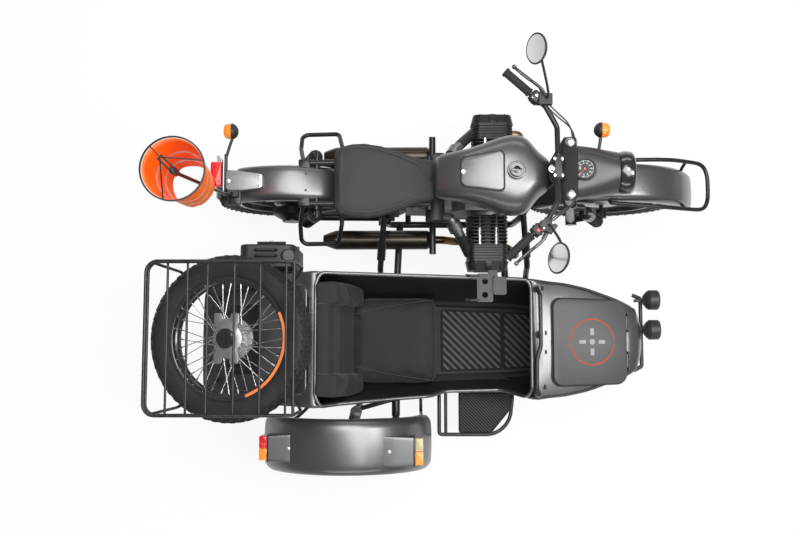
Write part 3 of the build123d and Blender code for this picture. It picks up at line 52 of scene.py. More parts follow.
camera = placed("camera", bpy.data.cameras.new("camera"), (-0.19, -0.34, 4.75), (math.radians(5.34), 0, 0))
camera.data.lens, camera.data.sensor_width = 41.67, 36.0
bpy.context.scene.camera = camera
bpy.context.scene.view_settings.view_transform = "Standard"


def soft_box(name, place, aim, size, power):
    lamp = bpy.data.lights.new(name, "AREA")
    lamp.shape, lamp.size, lamp.size_y, lamp.energy = "RECTANGLE", *size, power
    turn = (Vector(aim) - Vector(place)).to_track_quat("-Z", "Y").to_euler()
    placed(name, lamp, place, turn).visible_camera = False


soft_box("overhead_box", (0.5, 0.45, 5.3), (0.3, 0.2, 0.6), (4.4, 2.8), 300)
soft_box("left_strip", (0.2, 4.2, 2.6), (0, 0.3, 0.6), (4.2, 0.7), 34)
soft_box("right_strip", (0.2, -4.2, 2.6), (0, -0.4, 0.6), (4.2, 0.7), 40)
soft_box("nose_box", (3.1, -0.3, 4.7), (0.5, -0.2, 0.6), (1.3, 1.5), 95)


def tune(target, **inputs):
    """Sets a node's inputs, by number as i0 or by name; a socket given as a value is linked."""
    for key, value in inputs.items():
        numbered = key[0] == "i" and key[1:].isdigit()
        socket = target.inputs[int(key[1:]) if numbered else key.replace("_", " ")]
        if isinstance(value, bpy.types.NodeSocket):
            target.id_data.links.new(value, socket)
        else:
            socket.default_value = value
    return target


def node(tree, kind, settings=None, **inputs):
    """A new node with its settings and its inputs."""
    made = tree.nodes.new(kind)
    for key, value in (settings or {}).items():
        setattr(made, key, value)
    return tune(made, **inputs)


def calc(tree, operation, *terms, clamp=False):
    """The result of a math node on its terms."""
    inputs = {f"i{i}": term for i, term in enumerate(terms)}
    return node(tree, "ShaderNodeMath", {"operation": operation, "use_clamp": clamp}, **inputs).outputs[0]


def seen_as_white(tree, dim_shader, share, mirrored, output):
    """Lays white over dim_shader: whole for camera and glass rays, a part of it for mirror rays."""
    rays = tree.nodes.new("ShaderNodeLightPath").outputs
    kind = "ShaderNodeEmission" if share < 1 else "ShaderNodeBackground"
    white = node(tree, kind, Color=(1, 1, 1, 1), Strength=1.0)
    amount = calc(tree, "MULTIPLY_ADD", rays["Is Transmission Ray"], 1.0, rays["Is Camera Ray"], clamp=True)
    amount = calc(tree, "MULTIPLY_ADD", rays["Is Glossy Ray"], mirrored, amount, clamp=True)
    part = calc(tree, "MULTIPLY", amount, share)
    mix = node(tree, "ShaderNodeMixShader", i0=part, i1=dim_shader.outputs[0], i2=white.outputs[0])
    tune(tree.nodes[output], Surface=mix.outputs[0])


def local(bm, name):
    """Keeps a finished shape as a mesh."""
    mesh = bpy.data.meshes.new(name)
    bm.to_mesh(mesh)
    bm.free()
    return mesh


world = bpy.data.worlds.new("studio")
world.use_nodes = True
bpy.context.scene.world = world
room = tune(world.node_tree.nodes["Background"], Color=(0.93, 0.96, 1.0, 1), Strength=0.16)
seen_as_white(world.node_tree, room, 1.0, 0.1, "World Output")

sweep = bmesh.new()
bmesh.ops.create_grid(sweep, x_segments=2, y_segments=2, size=12)
floor = placed("floor", local(sweep, "floor"))
paper = bpy.data.materials.new("white_paper")
paper.use_nodes = True
matt = node(paper.node_tree, "ShaderNodeBsdfDiffuse", Color=(0.9, 0.9, 0.9, 1))
seen_as_white(paper.node_tree, matt, 0.9, 0.35, "Material Output")
floor.data.materials.append(paper)

# ------------ painted tubes and castings
# Frame, swingarms, struts, step, hoops, fork and rack are welded steel tube in black enamel.
# The finish group below gives every material its mottling and its grain.
surface = bpy.data.node_groups.new("surface_finish", "ShaderNodeTree")
for name, value in (
    ("Colour", (0.5, 0.5, 0.5, 1)), ("Second Colour", (0.4, 0.4, 0.4, 1)), ("Patch Scale", 9.0),
    ("Patch Amount", 0.3), ("Grain Scale", 260.0), ("Grain Amount", 0.1), ("Roughness", 0.5), ("Spread", 0.1),
    ("Colour", None), ("Roughness", None), ("Height", None),
):
    kind = "NodeSocketColor" if "Colour" in name else "NodeSocketFloat"
    socket = surface.interface.new_socket(name, in_out="INPUT" if value else "OUTPUT", socket_type=kind)
    if value:
        socket.default_value = value


def on_object(tree):
    """The place on the object, in metres, for a texture to follow."""
    return tree.nodes.new("ShaderNodeTexCoord").outputs["Object"]


given = surface.nodes.new("NodeGroupInput").outputs
put = surface.nodes.new("NodeGroupOutput")
place = on_object(surface)
patches = node(
    surface, "ShaderNodeTexNoise", Vector=place, Scale=given["Patch Scale"], Detail=6.0, Roughness=0.62
)
patch = node(surface, "ShaderNodeMapRange", Value=patches.outputs[0], From_Min=0.38, From_Max=0.68)
amount = calc(surface, "MULTIPLY", patch.outputs[0], given["Patch Amount"])
grains = node(
    surface, "ShaderNodeTexNoise", Vector=place, Scale=given["Grain Scale"], Detail=3.0, Roughness=0.7
)
mottle = node(
    surface, "ShaderNodeMix", {"data_type": "RGBA"}, i0=amount, i6=given["Colour"], i7=given["Second Colour"],
)
speck = calc(surface, "SUBTRACT", grains.outputs[0], 0.5)
speck = calc(surface, "MULTIPLY_ADD", speck, given["Grain Amount"], 1.0)
grained = node(
    surface, "ShaderNodeVectorMath", {"operation": "SCALE"}, i0=mottle.outputs["Result"], Scale=speck
)
rough = calc(surface, "SUBTRACT", patches.outputs[0], 0.5)
rough = calc(surface, "MULTIPLY_ADD", rough, given["Spread"], given["Roughness"])
tune(put, Colour=grained.outputs[0], Roughness=rough, Height=grains.outputs[0])


def shader_of(material):
    return material.node_tree.nodes["Principled BSDF"]


def finish(name, colour, second, roughness, metallic=0.0, patch=(9, 0.35), grain=(260, 0.12), spread=0.12,
           bump=0.0004, coat=0.0, coat_roughness=0.1, sheen=0.0, specular=0.5):
    """A material on the surface group: two close colours, grain of a given scale, and its gloss."""
    material = bpy.data.materials.new(name)
    material.use_nodes = True
    tree = material.node_tree
    look = node(
        tree, "ShaderNodeGroup", {"node_tree": surface, "name": "look"},
        Colour=(*colour, 1), Second_Colour=(*second, 1), Patch_Scale=patch[0], Patch_Amount=patch[1],
        Grain_Scale=grain[0], Grain_Amount=grain[1], Roughness=roughness, Spread=spread,
    ).outputs
    relief = node(
        tree, "ShaderNodeBump", {"name": "relief"}, Height=look["Height"], Distance=bump, Strength=1.0
    )
    tune(
        shader_of(material), Base_Color=look["Colour"], Roughness=look["Roughness"], Normal=relief.outputs[0],
        Metallic=metallic, Coat_Weight=coat, Coat_Roughness=coat_roughness, Sheen_Weight=sheen,
        Specular_IOR_Level=specular,
    )
    return material


def zone(material, **limits):
    """A mask that is 1 between the given limits on each axis, in metres."""
    tree = material.node_tree
    xyz = node(tree, "ShaderNodeSeparateXYZ", Vector=on_object(tree)).outputs
    mask = None
    for axis, (low, high) in limits.items():
        inside = calc(tree, "COMPARE", xyz[axis.upper()], (low + high) / 2, (high - low) / 2)
        mask = inside if mask is None else calc(tree, "MULTIPLY", mask, inside)
    return mask


def ball(material, centre, radius, soft=0.0005):
    """A mask that is 1 inside a ball, falling off over the soft edge."""
    tree = material.node_tree
    apart = node(tree, "ShaderNodeVectorMath", {"operation": "DISTANCE"}, i0=on_object(tree), i1=centre)
    inside = node(
        tree, "ShaderNodeMapRange", Value=apart.outputs["Value"], From_Min=radius + soft,
        From_Max=radius - soft,
    )
    return inside.outputs[0]


def overpaint(material, mask, colour, roughness=None, metallic=None):
    """Lays another colour, and gloss, over a material where the mask is 1."""
    tree, into = material.node_tree, shader_of(material).inputs
    below = into["Base Color"].links[0].from_socket
    mixed = node(tree, "ShaderNodeMix", {"data_type": "RGBA"}, i0=mask, i6=below, i7=(*colour, 1))
    tree.links.new(mixed.outputs["Result"], into["Base Color"])
    for name, value in (("Roughness", roughness), ("Metallic", metallic)):
        if value is not None:
            start = into[name].links[0].from_socket if into[name].links else into[name].default_value
            blend = node(tree, "ShaderNodeMix", i0=mask, i2=start, i3=value)
            tree.links.new(blend.outputs[0], into[name])


def clad(material, *names):
    """Gives CAD nodes their finish."""
    for name in names:
        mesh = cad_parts[name].data
        mesh.materials.clear()
        mesh.materials.append(material)


black_enamel = finish(
    "black_enamel", (0.01, 0.0105, 0.011), (0.02, 0.02, 0.021), 0.34, patch=(14, 0.6), grain=(500, 0.2),
    coat=0.3, coat_roughness=0.16, specular=0.2,
)
clad(
    black_enamel, "motorcycle_frame", "swingarm", "side_hoops", "sidecar_frame", "sidecar_swingarm", "fork",
    "windsock_pole", "windsock_yoke",
)
rack_enamel = finish(
    "rack_enamel", (0.016, 0.0165, 0.017), (0.04, 0.04, 0.041), 0.36, metallic=0.1, patch=(40, 0.5),
    grain=(700, 0.25), coat=0.25, coat_roughness=0.18, specular=0.2,
)
clad(rack_enamel, "luggage_rack", "step", "grab_rail", "handlebar")

# ------------ wheels and tyres
# Four alike 19-inch wheels: a black enamelled steel rim with rolled edges, thirty-six laced
# silver spokes on an alloy drum hub, and a block-tread tyre. The spare lies under the rack.
BIKE_Y, CAR_Y, AXLE_Z = 0.41, -0.28, 0.35
FRONT_AXLE, REAR_AXLE = (0.775, BIKE_Y, AXLE_Z), (-0.705, BIKE_Y, AXLE_Z)
CAR_AXLE = (-0.43, -0.745, AXLE_Z)
# the trunk lid's hinge at the lid's front edge, its slope, and the spare's place behind the hinge
TRUNK_Z, TRUNK_TILT, SPARE_X = 0.751, math.radians(12), -0.282
trunk_hinge = Vector((-0.578, CAR_Y, TRUNK_Z - 0.018 * math.tan(TRUNK_TILT)))
trunk_frame = Matrix.Translation(trunk_hinge) @ Matrix.Rotation(-TRUNK_TILT, 4, "Y")
# turned shapes and rods are made along Y; this stands them along Z
UPRIGHT = Matrix.Rotation(math.pi / 2, 4, "X")


def outward(bm):
    bmesh.ops.recalc_face_normals(bm, faces=bm.faces[:])


def spun(points, steps=64, close=None, arc=360.0, start=0.0):
    """A turned shape about the Y axis from (along, radius) points, closed unless it ends on the axis.
    A part turn starts at an angle from straight up."""
    bm = bmesh.new()
    verts = [bm.verts.new((0, along, radius)) for along, radius in points]
    pairs = list(zip(verts, verts[1:]))
    if close or close is None and min(points[0][1], points[-1][1]) > 0:
        pairs.append((verts[-1], verts[0]))
    ring = verts + [bm.edges.new(pair) for pair in pairs]
    bmesh.ops.rotate(
        bm, cent=(0, 0, 0), matrix=Matrix.Rotation(math.radians(start), 3, "Y"), verts=bm.verts[:]
    )
    bmesh.ops.spin(
        bm, geom=ring, cent=(0, 0, 0), axis=(0, 1, 0), angle=math.radians(arc), steps=steps,
        use_merge=arc == 360.0,
    )
    bmesh.ops.remove_doubles(bm, verts=bm.verts[:], dist=1e-6)
    outward(bm)
    return bm


def block(bm, size, centre=(0, 0, 0), bevel=0.0, segments=2, matrix=None):
    """A box with softened edges, put into an open bmesh."""
    made = bmesh.ops.create_cube(bm, size=1.0)["verts"]
    bmesh.ops.scale(bm, vec=size, verts=made)
    if bevel:
        edges = {e for v in made for e in v.link_edges}
        rounded = bmesh.ops.bevel(
            bm, geom=list(edges), offset=bevel, affect="EDGES", segments=segments, profile=0.5, material=-1
        )["faces"]
        made = list({v for face in rounded for v in face.verts} | {v for v in made if v.is_valid})
    bmesh.ops.transform(bm, matrix=(matrix or Matrix.Identity(4)) @ Matrix.Translation(centre), verts=made)
    return made


def blocks(*boxes):
    """A new bmesh of boxes, each given as block takes it."""
    bm = bmesh.new()
    for box in boxes:
        block(bm, *box)
    return bm


def copied(mesh):
    bm = bmesh.new()
    bm.from_mesh(mesh)
    return bm


def moved(bm, matrix):
    bmesh.ops.transform(bm, matrix=matrix, verts=bm.verts[:])
    return bm


def merge(bm, part, matrix=Matrix()):
    """Adds a finished part to an open bmesh, in its place."""
    bm.from_mesh(local(moved(part, matrix), "part"))


def facing(way, axis="Y"):
    """A turn that points an axis along a way."""
    return Vector(way).to_track_quat(axis, "Z" if axis == "Y" else "Y").to_matrix().to_4x4()


def rod(bm, radius, length, matrix, segments=20, tip=None):
    """A round bar along Z of the matrix, with another radius at its tip where given."""
    made = bmesh.ops.create_cone(
        bm, cap_ends=True, segments=segments, radius1=radius, radius2=tip or radius, depth=length
    )["verts"]
    bmesh.ops.transform(bm, matrix=matrix, verts=made)


def show(name, bm, body, material, replaces=(), crease=38, matrix=None, subdivide=0, solid=None):
    """Turns a finished bmesh, or mesh, into a piece that rides on a body."""
    mesh = bm
    if isinstance(bm, bmesh.types.BMesh):
        mesh = local(moved(bm, matrix) if matrix else bm, name)
    mesh.name = name
    mesh.shade_smooth()
    mesh.set_sharp_from_angle(angle=math.radians(crease))
    mesh.materials.append(material)
    piece = placed(name, mesh)
    if subdivide:
        rounding = piece.modifiers.new("subsurf", "SUBSURF")
        rounding.levels = rounding.render_levels = subdivide
    if solid:
        thickening = piece.modifiers.new("solidify", "SOLIDIFY")
        thickening.thickness, thickening.offset = solid
    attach(piece, body)
    if replaces:
        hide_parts(*replaces)
    return piece


rubber = finish(
    "tyre_rubber", (0.017, 0.017, 0.018), (0.034, 0.033, 0.032), 0.72, patch=(12, 0.6), grain=(420, 0.3),
    bump=0.0006, specular=0.3,
)
rim_black = finish(
    "rim_enamel", (0.018, 0.018, 0.02), (0.03, 0.03, 0.032), 0.22, patch=(10, 0.5), grain=(300, 0.1),
    coat=0.7, coat_roughness=0.08,
)
spoke_steel = finish(
    "spoke_steel", (0.62, 0.62, 0.62), (0.42, 0.42, 0.43), 0.26, metallic=1.0, patch=(60, 0.6),
    grain=(900, 0.2),
)
hub_alloy = finish(
    "hub_alloy", (0.5, 0.5, 0.49), (0.34, 0.34, 0.34), 0.42, metallic=0.85, patch=(30, 0.5), grain=(500, 0.3),
    bump=0.0003,
)
stripe_orange = finish(
    "rim_stripe", (0.8, 0.22, 0.05), (0.72, 0.19, 0.05), 0.4, patch=(30, 0.3), grain=(500, 0.1), coat=0.3
)


def mirrored(points):
    """A profile and its mirror image along the axle."""
    return points + [(-along, radius) for along, radius in reversed(points)]


TYRE = mirrored(
    [
        (-0.0405, 0.2463), (-0.0405, 0.2565), (-0.046, 0.262), (-0.0495, 0.27), (-0.05, 0.2735),
        (-0.0508, 0.2745), (-0.0515, 0.281), (-0.0528, 0.292), (-0.0528, 0.303), (-0.0508, 0.316),
        (-0.0466, 0.3255), (-0.038, 0.3335), (-0.024, 0.3395), (-0.008, 0.342),
    ]
)
RIM = mirrored([(-0.044, 0.2555), (-0.0425, 0.256), (-0.0412, 0.255), (-0.0408, 0.246)]) + mirrored([
    (0.044, 0.243), (0.0425, 0.241), (0.02, 0.2385), (0.015, 0.232), (0.011, 0.2292),
])
HUB = [
    (-0.044, 0.0104), (-0.044, 0.029), (-0.0415, 0.032), (-0.041, 0.084), (-0.039, 0.0875), (-0.0215, 0.0878),
    (-0.02, 0.086), (-0.0195, 0.064), (-0.015, 0.06), (-0.011, 0.035), (0.023, 0.0335), (0.027, 0.06),
    (0.029, 0.0618), (0.0335, 0.0618), (0.035, 0.059), (0.036, 0.031), (0.044, 0.0265), (0.044, 0.0104),
]
PITCHES = 52
# along the axle, radius, length round the tyre, width, share of a pitch
BLOCKS = [
    (-0.0085, 0.3455, 0.021, 0.0145, 0.0), (0.0085, 0.3455, 0.021, 0.0145, 0.5),
    (-0.0255, 0.3422, 0.019, 0.0135, 0.45), (0.0255, 0.3422, 0.019, 0.0135, 0.95),
    (-0.0415, 0.3345, 0.024, 0.0125, 0.0), (0.0415, 0.3345, 0.024, 0.0125, 0.5),
]
tread = spun(TYRE, steps=96)
for along, radius, length, width, share in BLOCKS:
    knob = blocks(((length, width, 0.012), (0, 0, 0), 0.0016, 1))
    lean = math.copysign(math.radians(6 + 700 * (abs(along) - 0.02)), along) if abs(along) > 0.02 else 0
    at = Matrix.Rotation(math.tau * share / PITCHES, 4, "Y") @ Matrix.Translation((0, along, radius - 0.0025))
    slant = Matrix.Rotation(math.copysign(math.radians(14), along), 4, "Z")
    moved(knob, at @ Matrix.Rotation(-lean, 4, "X") @ slant)
    bmesh.ops.spin(
        knob, geom=knob.verts[:] + knob.edges[:] + knob.faces[:], cent=(0, 0, 0), axis=(0, 1, 0),
        angle=2 * math.pi * (PITCHES - 1) / PITCHES, steps=PITCHES - 1, use_duplicate=True,
    )
    merge(tread, knob)
hub = spun(HUB, steps=48)
for i in range(20):
    rib = Matrix.Rotation(2 * math.pi * i / 20, 4, "Y") @ Matrix.Translation((0, 0.006, 0.044))
    block(hub, (0.0022, 0.022, 0.04), bevel=0.0006, segments=1, matrix=rib)
laced = bmesh.new()
for i in range(36):
    turn, odd = 2 * math.pi * i / 36, i % 2
    lace = turn + math.radians(24 if i % 4 < 2 else -24)
    flange_y, flange_r = (0.031, 0.054) if odd else (-0.018, 0.072)
    inner = Vector((flange_r * math.cos(lace), flange_y, flange_r * math.sin(lace)))
    outer = Vector((0.2315 * math.cos(turn), 0.004 if odd else -0.004, 0.2315 * math.sin(turn)))
    run = outer - inner
    # the wire, then its nipple at the rim
    for radius, from_end, length in ((0.0019, 0.0, run.length), (0.0034, run.length - 0.018, 0.018)):
        middle = inner + run.normalized() * (from_end + length / 2)
        rod(laced, radius, length, Matrix.Translation(middle) @ facing(run, "Z"), 8, radius * 0.96)
# vinyl stripe stuck along a third of the rim's flange
stripe = spun(
    [(0.0441, 0.2435), (0.0446, 0.244), (0.0446, 0.255), (0.0441, 0.2556)], steps=40, arc=95, start=20
)
WHEEL_PARTS = [
    (name, local(shape, name), material, slot, crease)
    for name, shape, material, slot, crease in (
        ("tyre_tread", tread, rubber, "tyre_rubber", 30),
        ("rim", spun(RIM, steps=96), rim_black, "wheel_black", 38),
        ("hub", hub, hub_alloy, "wheel_black", 38), ("spokes", laced, spoke_steel, "wheel_black", 38),
        ("rim_stripe", stripe, stripe_orange, "wheel_black", 38),
    )
]
for station, place, body, tyre, wheel in (
    ("front", Matrix.Translation(FRONT_AXLE), "front_wheel", "front_tyre", "front_wheel"),
    ("rear", Matrix.Translation(REAR_AXLE), "rear_wheel", "rear_tyre", "rear_wheel"),
    ("sidecar", Matrix.Translation(CAR_AXLE), "sidecar_wheel", "sidecar_tyre", "sidecar_wheel"),
    (
        "spare", trunk_frame @ Matrix.Translation((SPARE_X, 0, 0.2)) @ UPRIGHT, "trunk_lid", "spare_wheel",
        "spare_wheel",
    ),
):
    for name, shape, material, slot, crease in WHEEL_PARTS:
        replaced = tyre if name == "tyre_tread" else wheel
        show(
            f"{station}_{name}", copied(shape), body, material, [replaced], crease=crease, matrix=place
        )

# ------------ engine, intake and exhausts
# A flat twin: cast alloy crankcase, finned iron-black barrels and black rocker covers, with
# steel push-rod tubes. Headers of heat-stained steel run back into dark bronze mufflers.
case_alloy = finish(
    "case_alloy", (0.3, 0.3, 0.3), (0.16, 0.16, 0.155), 0.46, metallic=0.8, patch=(22, 0.7), grain=(600, 0.5),
    bump=0.0007,
)
clad(case_alloy, "engine_block")
fin_black = finish(
    "fin_black", (0.013, 0.013, 0.0135), (0.028, 0.0275, 0.027), 0.45, metallic=0.2, patch=(30, 0.6),
    grain=(520, 0.35), bump=0.0005, coat=0.2, coat_roughness=0.25, specular=0.25,
)
clad(fin_black, "cylinder_left", "cylinder_right")
intake_black = finish(
    "intake_black", (0.014, 0.014, 0.0145), (0.03, 0.03, 0.03), 0.5, patch=(20, 0.5), grain=(420, 0.3),
    bump=0.0005,
)
CYLINDER_Z = 0.42
for side in (1, -1):
    throttle = ball(intake_black, (0.062, BIKE_Y + side * 0.172, 0.541), 0.052)
    overpaint(intake_black, throttle, (0.24, 0.24, 0.235), roughness=0.34, metallic=0.9)
clad(intake_black, "intake")
heat_steel = finish(
    "heat_steel", (0.03, 0.024, 0.018), (0.065, 0.048, 0.032), 0.32, metallic=0.75, patch=(16, 0.6),
    grain=(380, 0.3), coat=0.25, coat_roughness=0.2,
)
overpaint(heat_steel, zone(heat_steel, x=(0.02, 0.6)), (0.2, 0.125, 0.06), roughness=0.3, metallic=0.95)
clad(heat_steel, "exhausts")


def plate(outline, low, high, corner=0.0, edge=0.0, segments=3):
    """A flat plate from (x, y) corners: rounded in plan, given its thickness, then edged."""
    bm = bmesh.new()
    corners = [bm.verts.new((x, y, low)) for x, y in outline]
    bmesh.ops.contextual_create(bm, geom=corners)
    if corner:
        bmesh.ops.bevel(
            bm, geom=corners, offset=corner, offset_type="OFFSET", affect="VERTICES", segments=8, profile=0.5,
            material=-1,
        )
    raised = bmesh.ops.extrude_face_region(bm, geom=bm.faces[:])["geom"]
    tops = [g for g in raised if isinstance(g, bmesh.types.BMVert)]
    bmesh.ops.translate(bm, vec=(0, 0, high - low), verts=tops)
    outward(bm)
    if edge:
        rim_edges = [e for e in bm.edges if all(v.co.z > (low + high) / 2 for v in e.verts)]
        bmesh.ops.bevel(
            bm, geom=rim_edges, offset=edge, affect="EDGES", segments=segments, profile=0.5, material=-1
        )
    return bm


def wedge(x0, half0, x1, half1):
    """Four corners between two x places, with a half width at each."""
    return [(x0, -half0), (x1, -half1), (x1, half1), (x0, half0)]


for side, x, name in ((1, 0.245, "left"), (-1, 0.217, "right")):
    # cap nuts round the rocker cover
    studs = bmesh.new()
    for dx, dz in (
        (-0.082, 0.045), (0.082, 0.045), (-0.082, -0.045), (0.082, -0.045), (0, 0.058), (0, -0.058)
    ):
        spot = Matrix.Translation((x + dx, BIKE_Y + side * 0.326, CYLINDER_Z + dz))
        rod(studs, 0.008, 0.012, spot @ UPRIGHT, 6, 0.007)
    show(f"rocker_nuts_{name}", studs, "chassis", hub_alloy)
    # cooling fins round the head, and the ribs cast on the cover
    head_fins = bmesh.new()
    for i in range(5):
        fin = plate(
            wedge(-0.0945, 0.0835, 0.0945, 0.0835), -0.0018, 0.0018, corner=0.038, edge=0.0006, segments=1
        )
        merge(
            head_fins, fin,
            Matrix.Translation((x, BIKE_Y + side * (0.262 + i * 0.0125), CYLINDER_Z)) @ UPRIGHT,
        )
    for dx, wide in ((-0.058, 0.007), (0, 0.03), (0.058, 0.007)):
        sloped = Matrix.Translation((x + dx, BIKE_Y + side * 0.346, 0.4845))
        sloped @= Matrix.Rotation(side * math.radians(-14), 4, "X")
        block(head_fins, (wide, 0.046, 0.012), bevel=0.003, matrix=sloped)
    show(f"head_fins_{name}", head_fins, "chassis", fin_black)
    tubes = bmesh.new()
    for dx in (-0.038, 0.038):
        sloped = Matrix.Translation((x + dx, BIKE_Y + side * 0.18, 0.4945))
        rod(tubes, 0.0098, 0.14, sloped @ Matrix.Rotation(side * math.radians(3.2), 4, "X") @ UPRIGHT)
    show(f"pushrod_tubes_{name}", tubes, "chassis", spoke_steel)

# ------------ fuel tank
# Pressed and seam-welded steel in satin metallic slate grey. The top is crowned, the flanks
# draw in at the knees, and the tail tapers under the seat.
slate = finish(
    "slate_metallic", (0.135, 0.136, 0.141), (0.115, 0.116, 0.121), 0.36, metallic=0.8, patch=(5, 0.5),
    grain=(1800, 0.28), spread=0.05, bump=0.00006, coat=0.3, coat_roughness=0.2,
)


def loft(sections):
    """A tube through closed sections of equal count, each extruded from the one before."""
    bm = bmesh.new()
    ring = bmesh.ops.create_circle(bm, segments=len(sections[0]), radius=1.0, cap_ends=False)["verts"]
    for vert, place in zip(ring, sections[0]):
        vert.co = place
    edges = list({e for v in ring for e in v.link_edges})
    first, last = list(ring), list(ring)
    for section in sections[1:]:
        made = bmesh.ops.extrude_edge_only(bm, edges=edges)["geom"]
        fresh = [g for g in made if isinstance(g, bmesh.types.BMVert)]
        follows = {}
        for vert in fresh:
            for edge in vert.link_edges:
                other = edge.other_vert(vert)
                if other in last:
                    follows[last.index(other)] = vert
        last = [follows[i] for i in range(len(section))]
        for vert, place in zip(last, section):
            vert.co = place
        edges = [
            g for g in made
            if isinstance(g, bmesh.types.BMEdge) and g.verts[0] in fresh and g.verts[1] in fresh
        ]
    for ring in (first, last):
        bmesh.ops.contextual_create(bm, geom=ring)
    outward(bm)
    return bm


def super_oval(x, half, low, high, power, count=24, y=BIKE_Y):
    """A rounded section across the machine; a higher power gives squarer shoulders."""
    def bulge(share):
        return math.copysign(abs(share) ** (2 / power), share)

    middle, tall = (low + high) / 2, (high - low) / 2
    turns = [2 * math.pi * (i + 0.5) / count for i in range(count)]
    return [Vector((x, y + half * bulge(math.cos(t)), middle + tall * bulge(math.sin(t)))) for t in turns]


# x, half width, lowest, highest, squareness
TANK = [
    (-0.041, 0.074, 0.79, 0.868, 2.8), (-0.035, 0.088, 0.778, 0.884, 3.0), (0.000, 0.098, 0.768, 0.915, 3.0),
    (0.06, 0.106, 0.76, 0.95, 3.1), (0.12, 0.12, 0.754, 0.9645, 3.1), (0.19, 0.146, 0.75, 0.976, 3.0),
    (0.255, 0.17, 0.748, 0.9845, 2.9), (0.31, 0.1738, 0.75, 0.9848, 2.8), (0.35, 0.158, 0.754, 0.98, 2.7),
    (0.39, 0.099, 0.77, 0.97, 2.5), (0.425, 0.077, 0.8, 0.952, 2.4), (0.446, 0.055, 0.835, 0.925, 2.3),
]
tank = loft([super_oval(*row) for row in TANK])
show("fuel_tank_shell", tank, "chassis", slate, ["fuel_tank"], subdivide=3)

# ------------ toolbox lid and filler cap
# A pressed lid sits in a black rubber gasket on the tank's crest and locks at its rear edge.
# The filler cap is a gloss black twist cap with a knurled skirt.
crest_slope = math.atan2(0.04, 0.24)
crest = Matrix.Translation((0.06, BIKE_Y, 0.945)) @ Matrix.Rotation(-crest_slope, 4, "Y")
gloss_black = finish(
    "gloss_black", (0.012, 0.012, 0.013), (0.02, 0.02, 0.021), 0.14, patch=(20, 0.4), grain=(300, 0.1),
    coat=0.9, coat_roughness=0.05,
)
seal_rubber = finish(
    "seal_rubber", (0.015, 0.015, 0.016), (0.03, 0.03, 0.03), 0.7, patch=(40, 0.5), grain=(800, 0.2)
)
gasket = plate(wedge(0.0, 0.0609, 0.188, 0.0903), -0.012, 0.0085, corner=0.026, edge=0.002)
show("toolbox_gasket", gasket, "chassis", seal_rubber, matrix=crest)
lid = plate(wedge(0.004, 0.058, 0.184, 0.086), -0.008, 0.012, corner=0.024, edge=0.005)
show("toolbox_panel", lid, "chassis", slate, ["toolbox_lid"], matrix=crest)
lock = spun(
    [(0, 0), (0, 0.0095), (0.003, 0.0095), (0.0042, 0.0082), (0.0042, 0.0072), (0.0034, 0.0066), (0.0034, 0)],
    steps=32,
)
block(lock, (0.0012, 0.0014, 0.0075), (0, 0.0036, 0))
show("toolbox_lock", lock, "chassis", spoke_steel,
     matrix=crest @ Matrix.Translation((0.016, 0, 0.0118)) @ UPRIGHT)
cap = spun([
    (0, 0), (0, 0.037), (0.029, 0.0375), (0.0315, 0.0365), (0.0325, 0.034), (0.0315, 0.03), (0.029, 0.0285),
    (0.028, 0.02), (0.0285, 0.012), (0.03, 0.01), (0.03, 0),
])
for i in range(40):
    block(
        cap, (0.0016, 0.02, 0.0022), (0, 0.016, 0.0374), matrix=Matrix.Rotation(2 * math.pi * i / 40, 4, "Y")
    )
block(cap, (0.044, 0.005, 0.011), (0, 0.0315, 0), bevel=0.0018)
show("filler_cap", cap, "chassis", gloss_black, ["fuel_cap"],
     matrix=Matrix.Translation((0.29, BIKE_Y, 0.971)) @ UPRIGHT)

# ------------ rider's seat
# A solo saddle: black grained leatherette over moulded foam on a steel pan. The flat top panel
# is cut separately and joined to the skirt by a welted seam.
saddle_leather = finish(
    "saddle_leatherette", (0.031, 0.032, 0.034), (0.042, 0.0435, 0.045), 0.6, patch=(10, 0.5),
    grain=(750, 0.25), spread=0.1, bump=0.0009, specular=0.3,
)
pores = saddle_leather.node_tree
cells = node(
    pores, "ShaderNodeTexVoronoi", {"feature": "DISTANCE_TO_EDGE"}, Vector=on_object(pores), Scale=420.0
)
creases = node(pores, "ShaderNodeMapRange", Value=cells.outputs["Distance"], From_Min=0.0, From_Max=0.12)
tune(pores.nodes["relief"], Height=creases.outputs[0], Distance=0.00025)
piping_black = finish(
    "piping_black", (0.035, 0.036, 0.038), (0.05, 0.05, 0.052), 0.5, patch=(30, 0.4), grain=(600, 0.2)
)


def baked(holder):
    """The mesh of an object as its modifiers leave it."""
    return bpy.data.meshes.new_from_object(holder.evaluated_get(bpy.context.evaluated_depsgraph_get()))


def draped(holder, held, frames, furthest, gravity=1.0, **settings):
    """Cloth for some frames, held at some places; no vertex ends further from its start than given."""
    rest = [v.co.copy() for v in holder.data.vertices]
    group = holder.vertex_groups.new(name="held")
    group.add([i for i, co in enumerate(rest) if held(co)], 1.0, "REPLACE")
    cloth = holder.modifiers.new("cloth", "CLOTH")
    cloth.settings.vertex_group_mass = "held"
    cloth.settings.effector_weights.gravity = gravity
    for key, value in settings.items():
        setattr(cloth.settings, key, value)
    cloth.point_cache.frame_start, cloth.point_cache.frame_end = 1, frames
    for step in range(1, frames + 1):
        bpy.context.scene.frame_set(step)
    mesh = baked(holder)
    bpy.context.scene.frame_set(1)
    for vert, start in zip(mesh.vertices, rest):
        shift = vert.co - start
        if shift.length > furthest:
            vert.co = start + shift * (furthest / shift.length)
    bpy.data.objects.remove(holder)
    return mesh


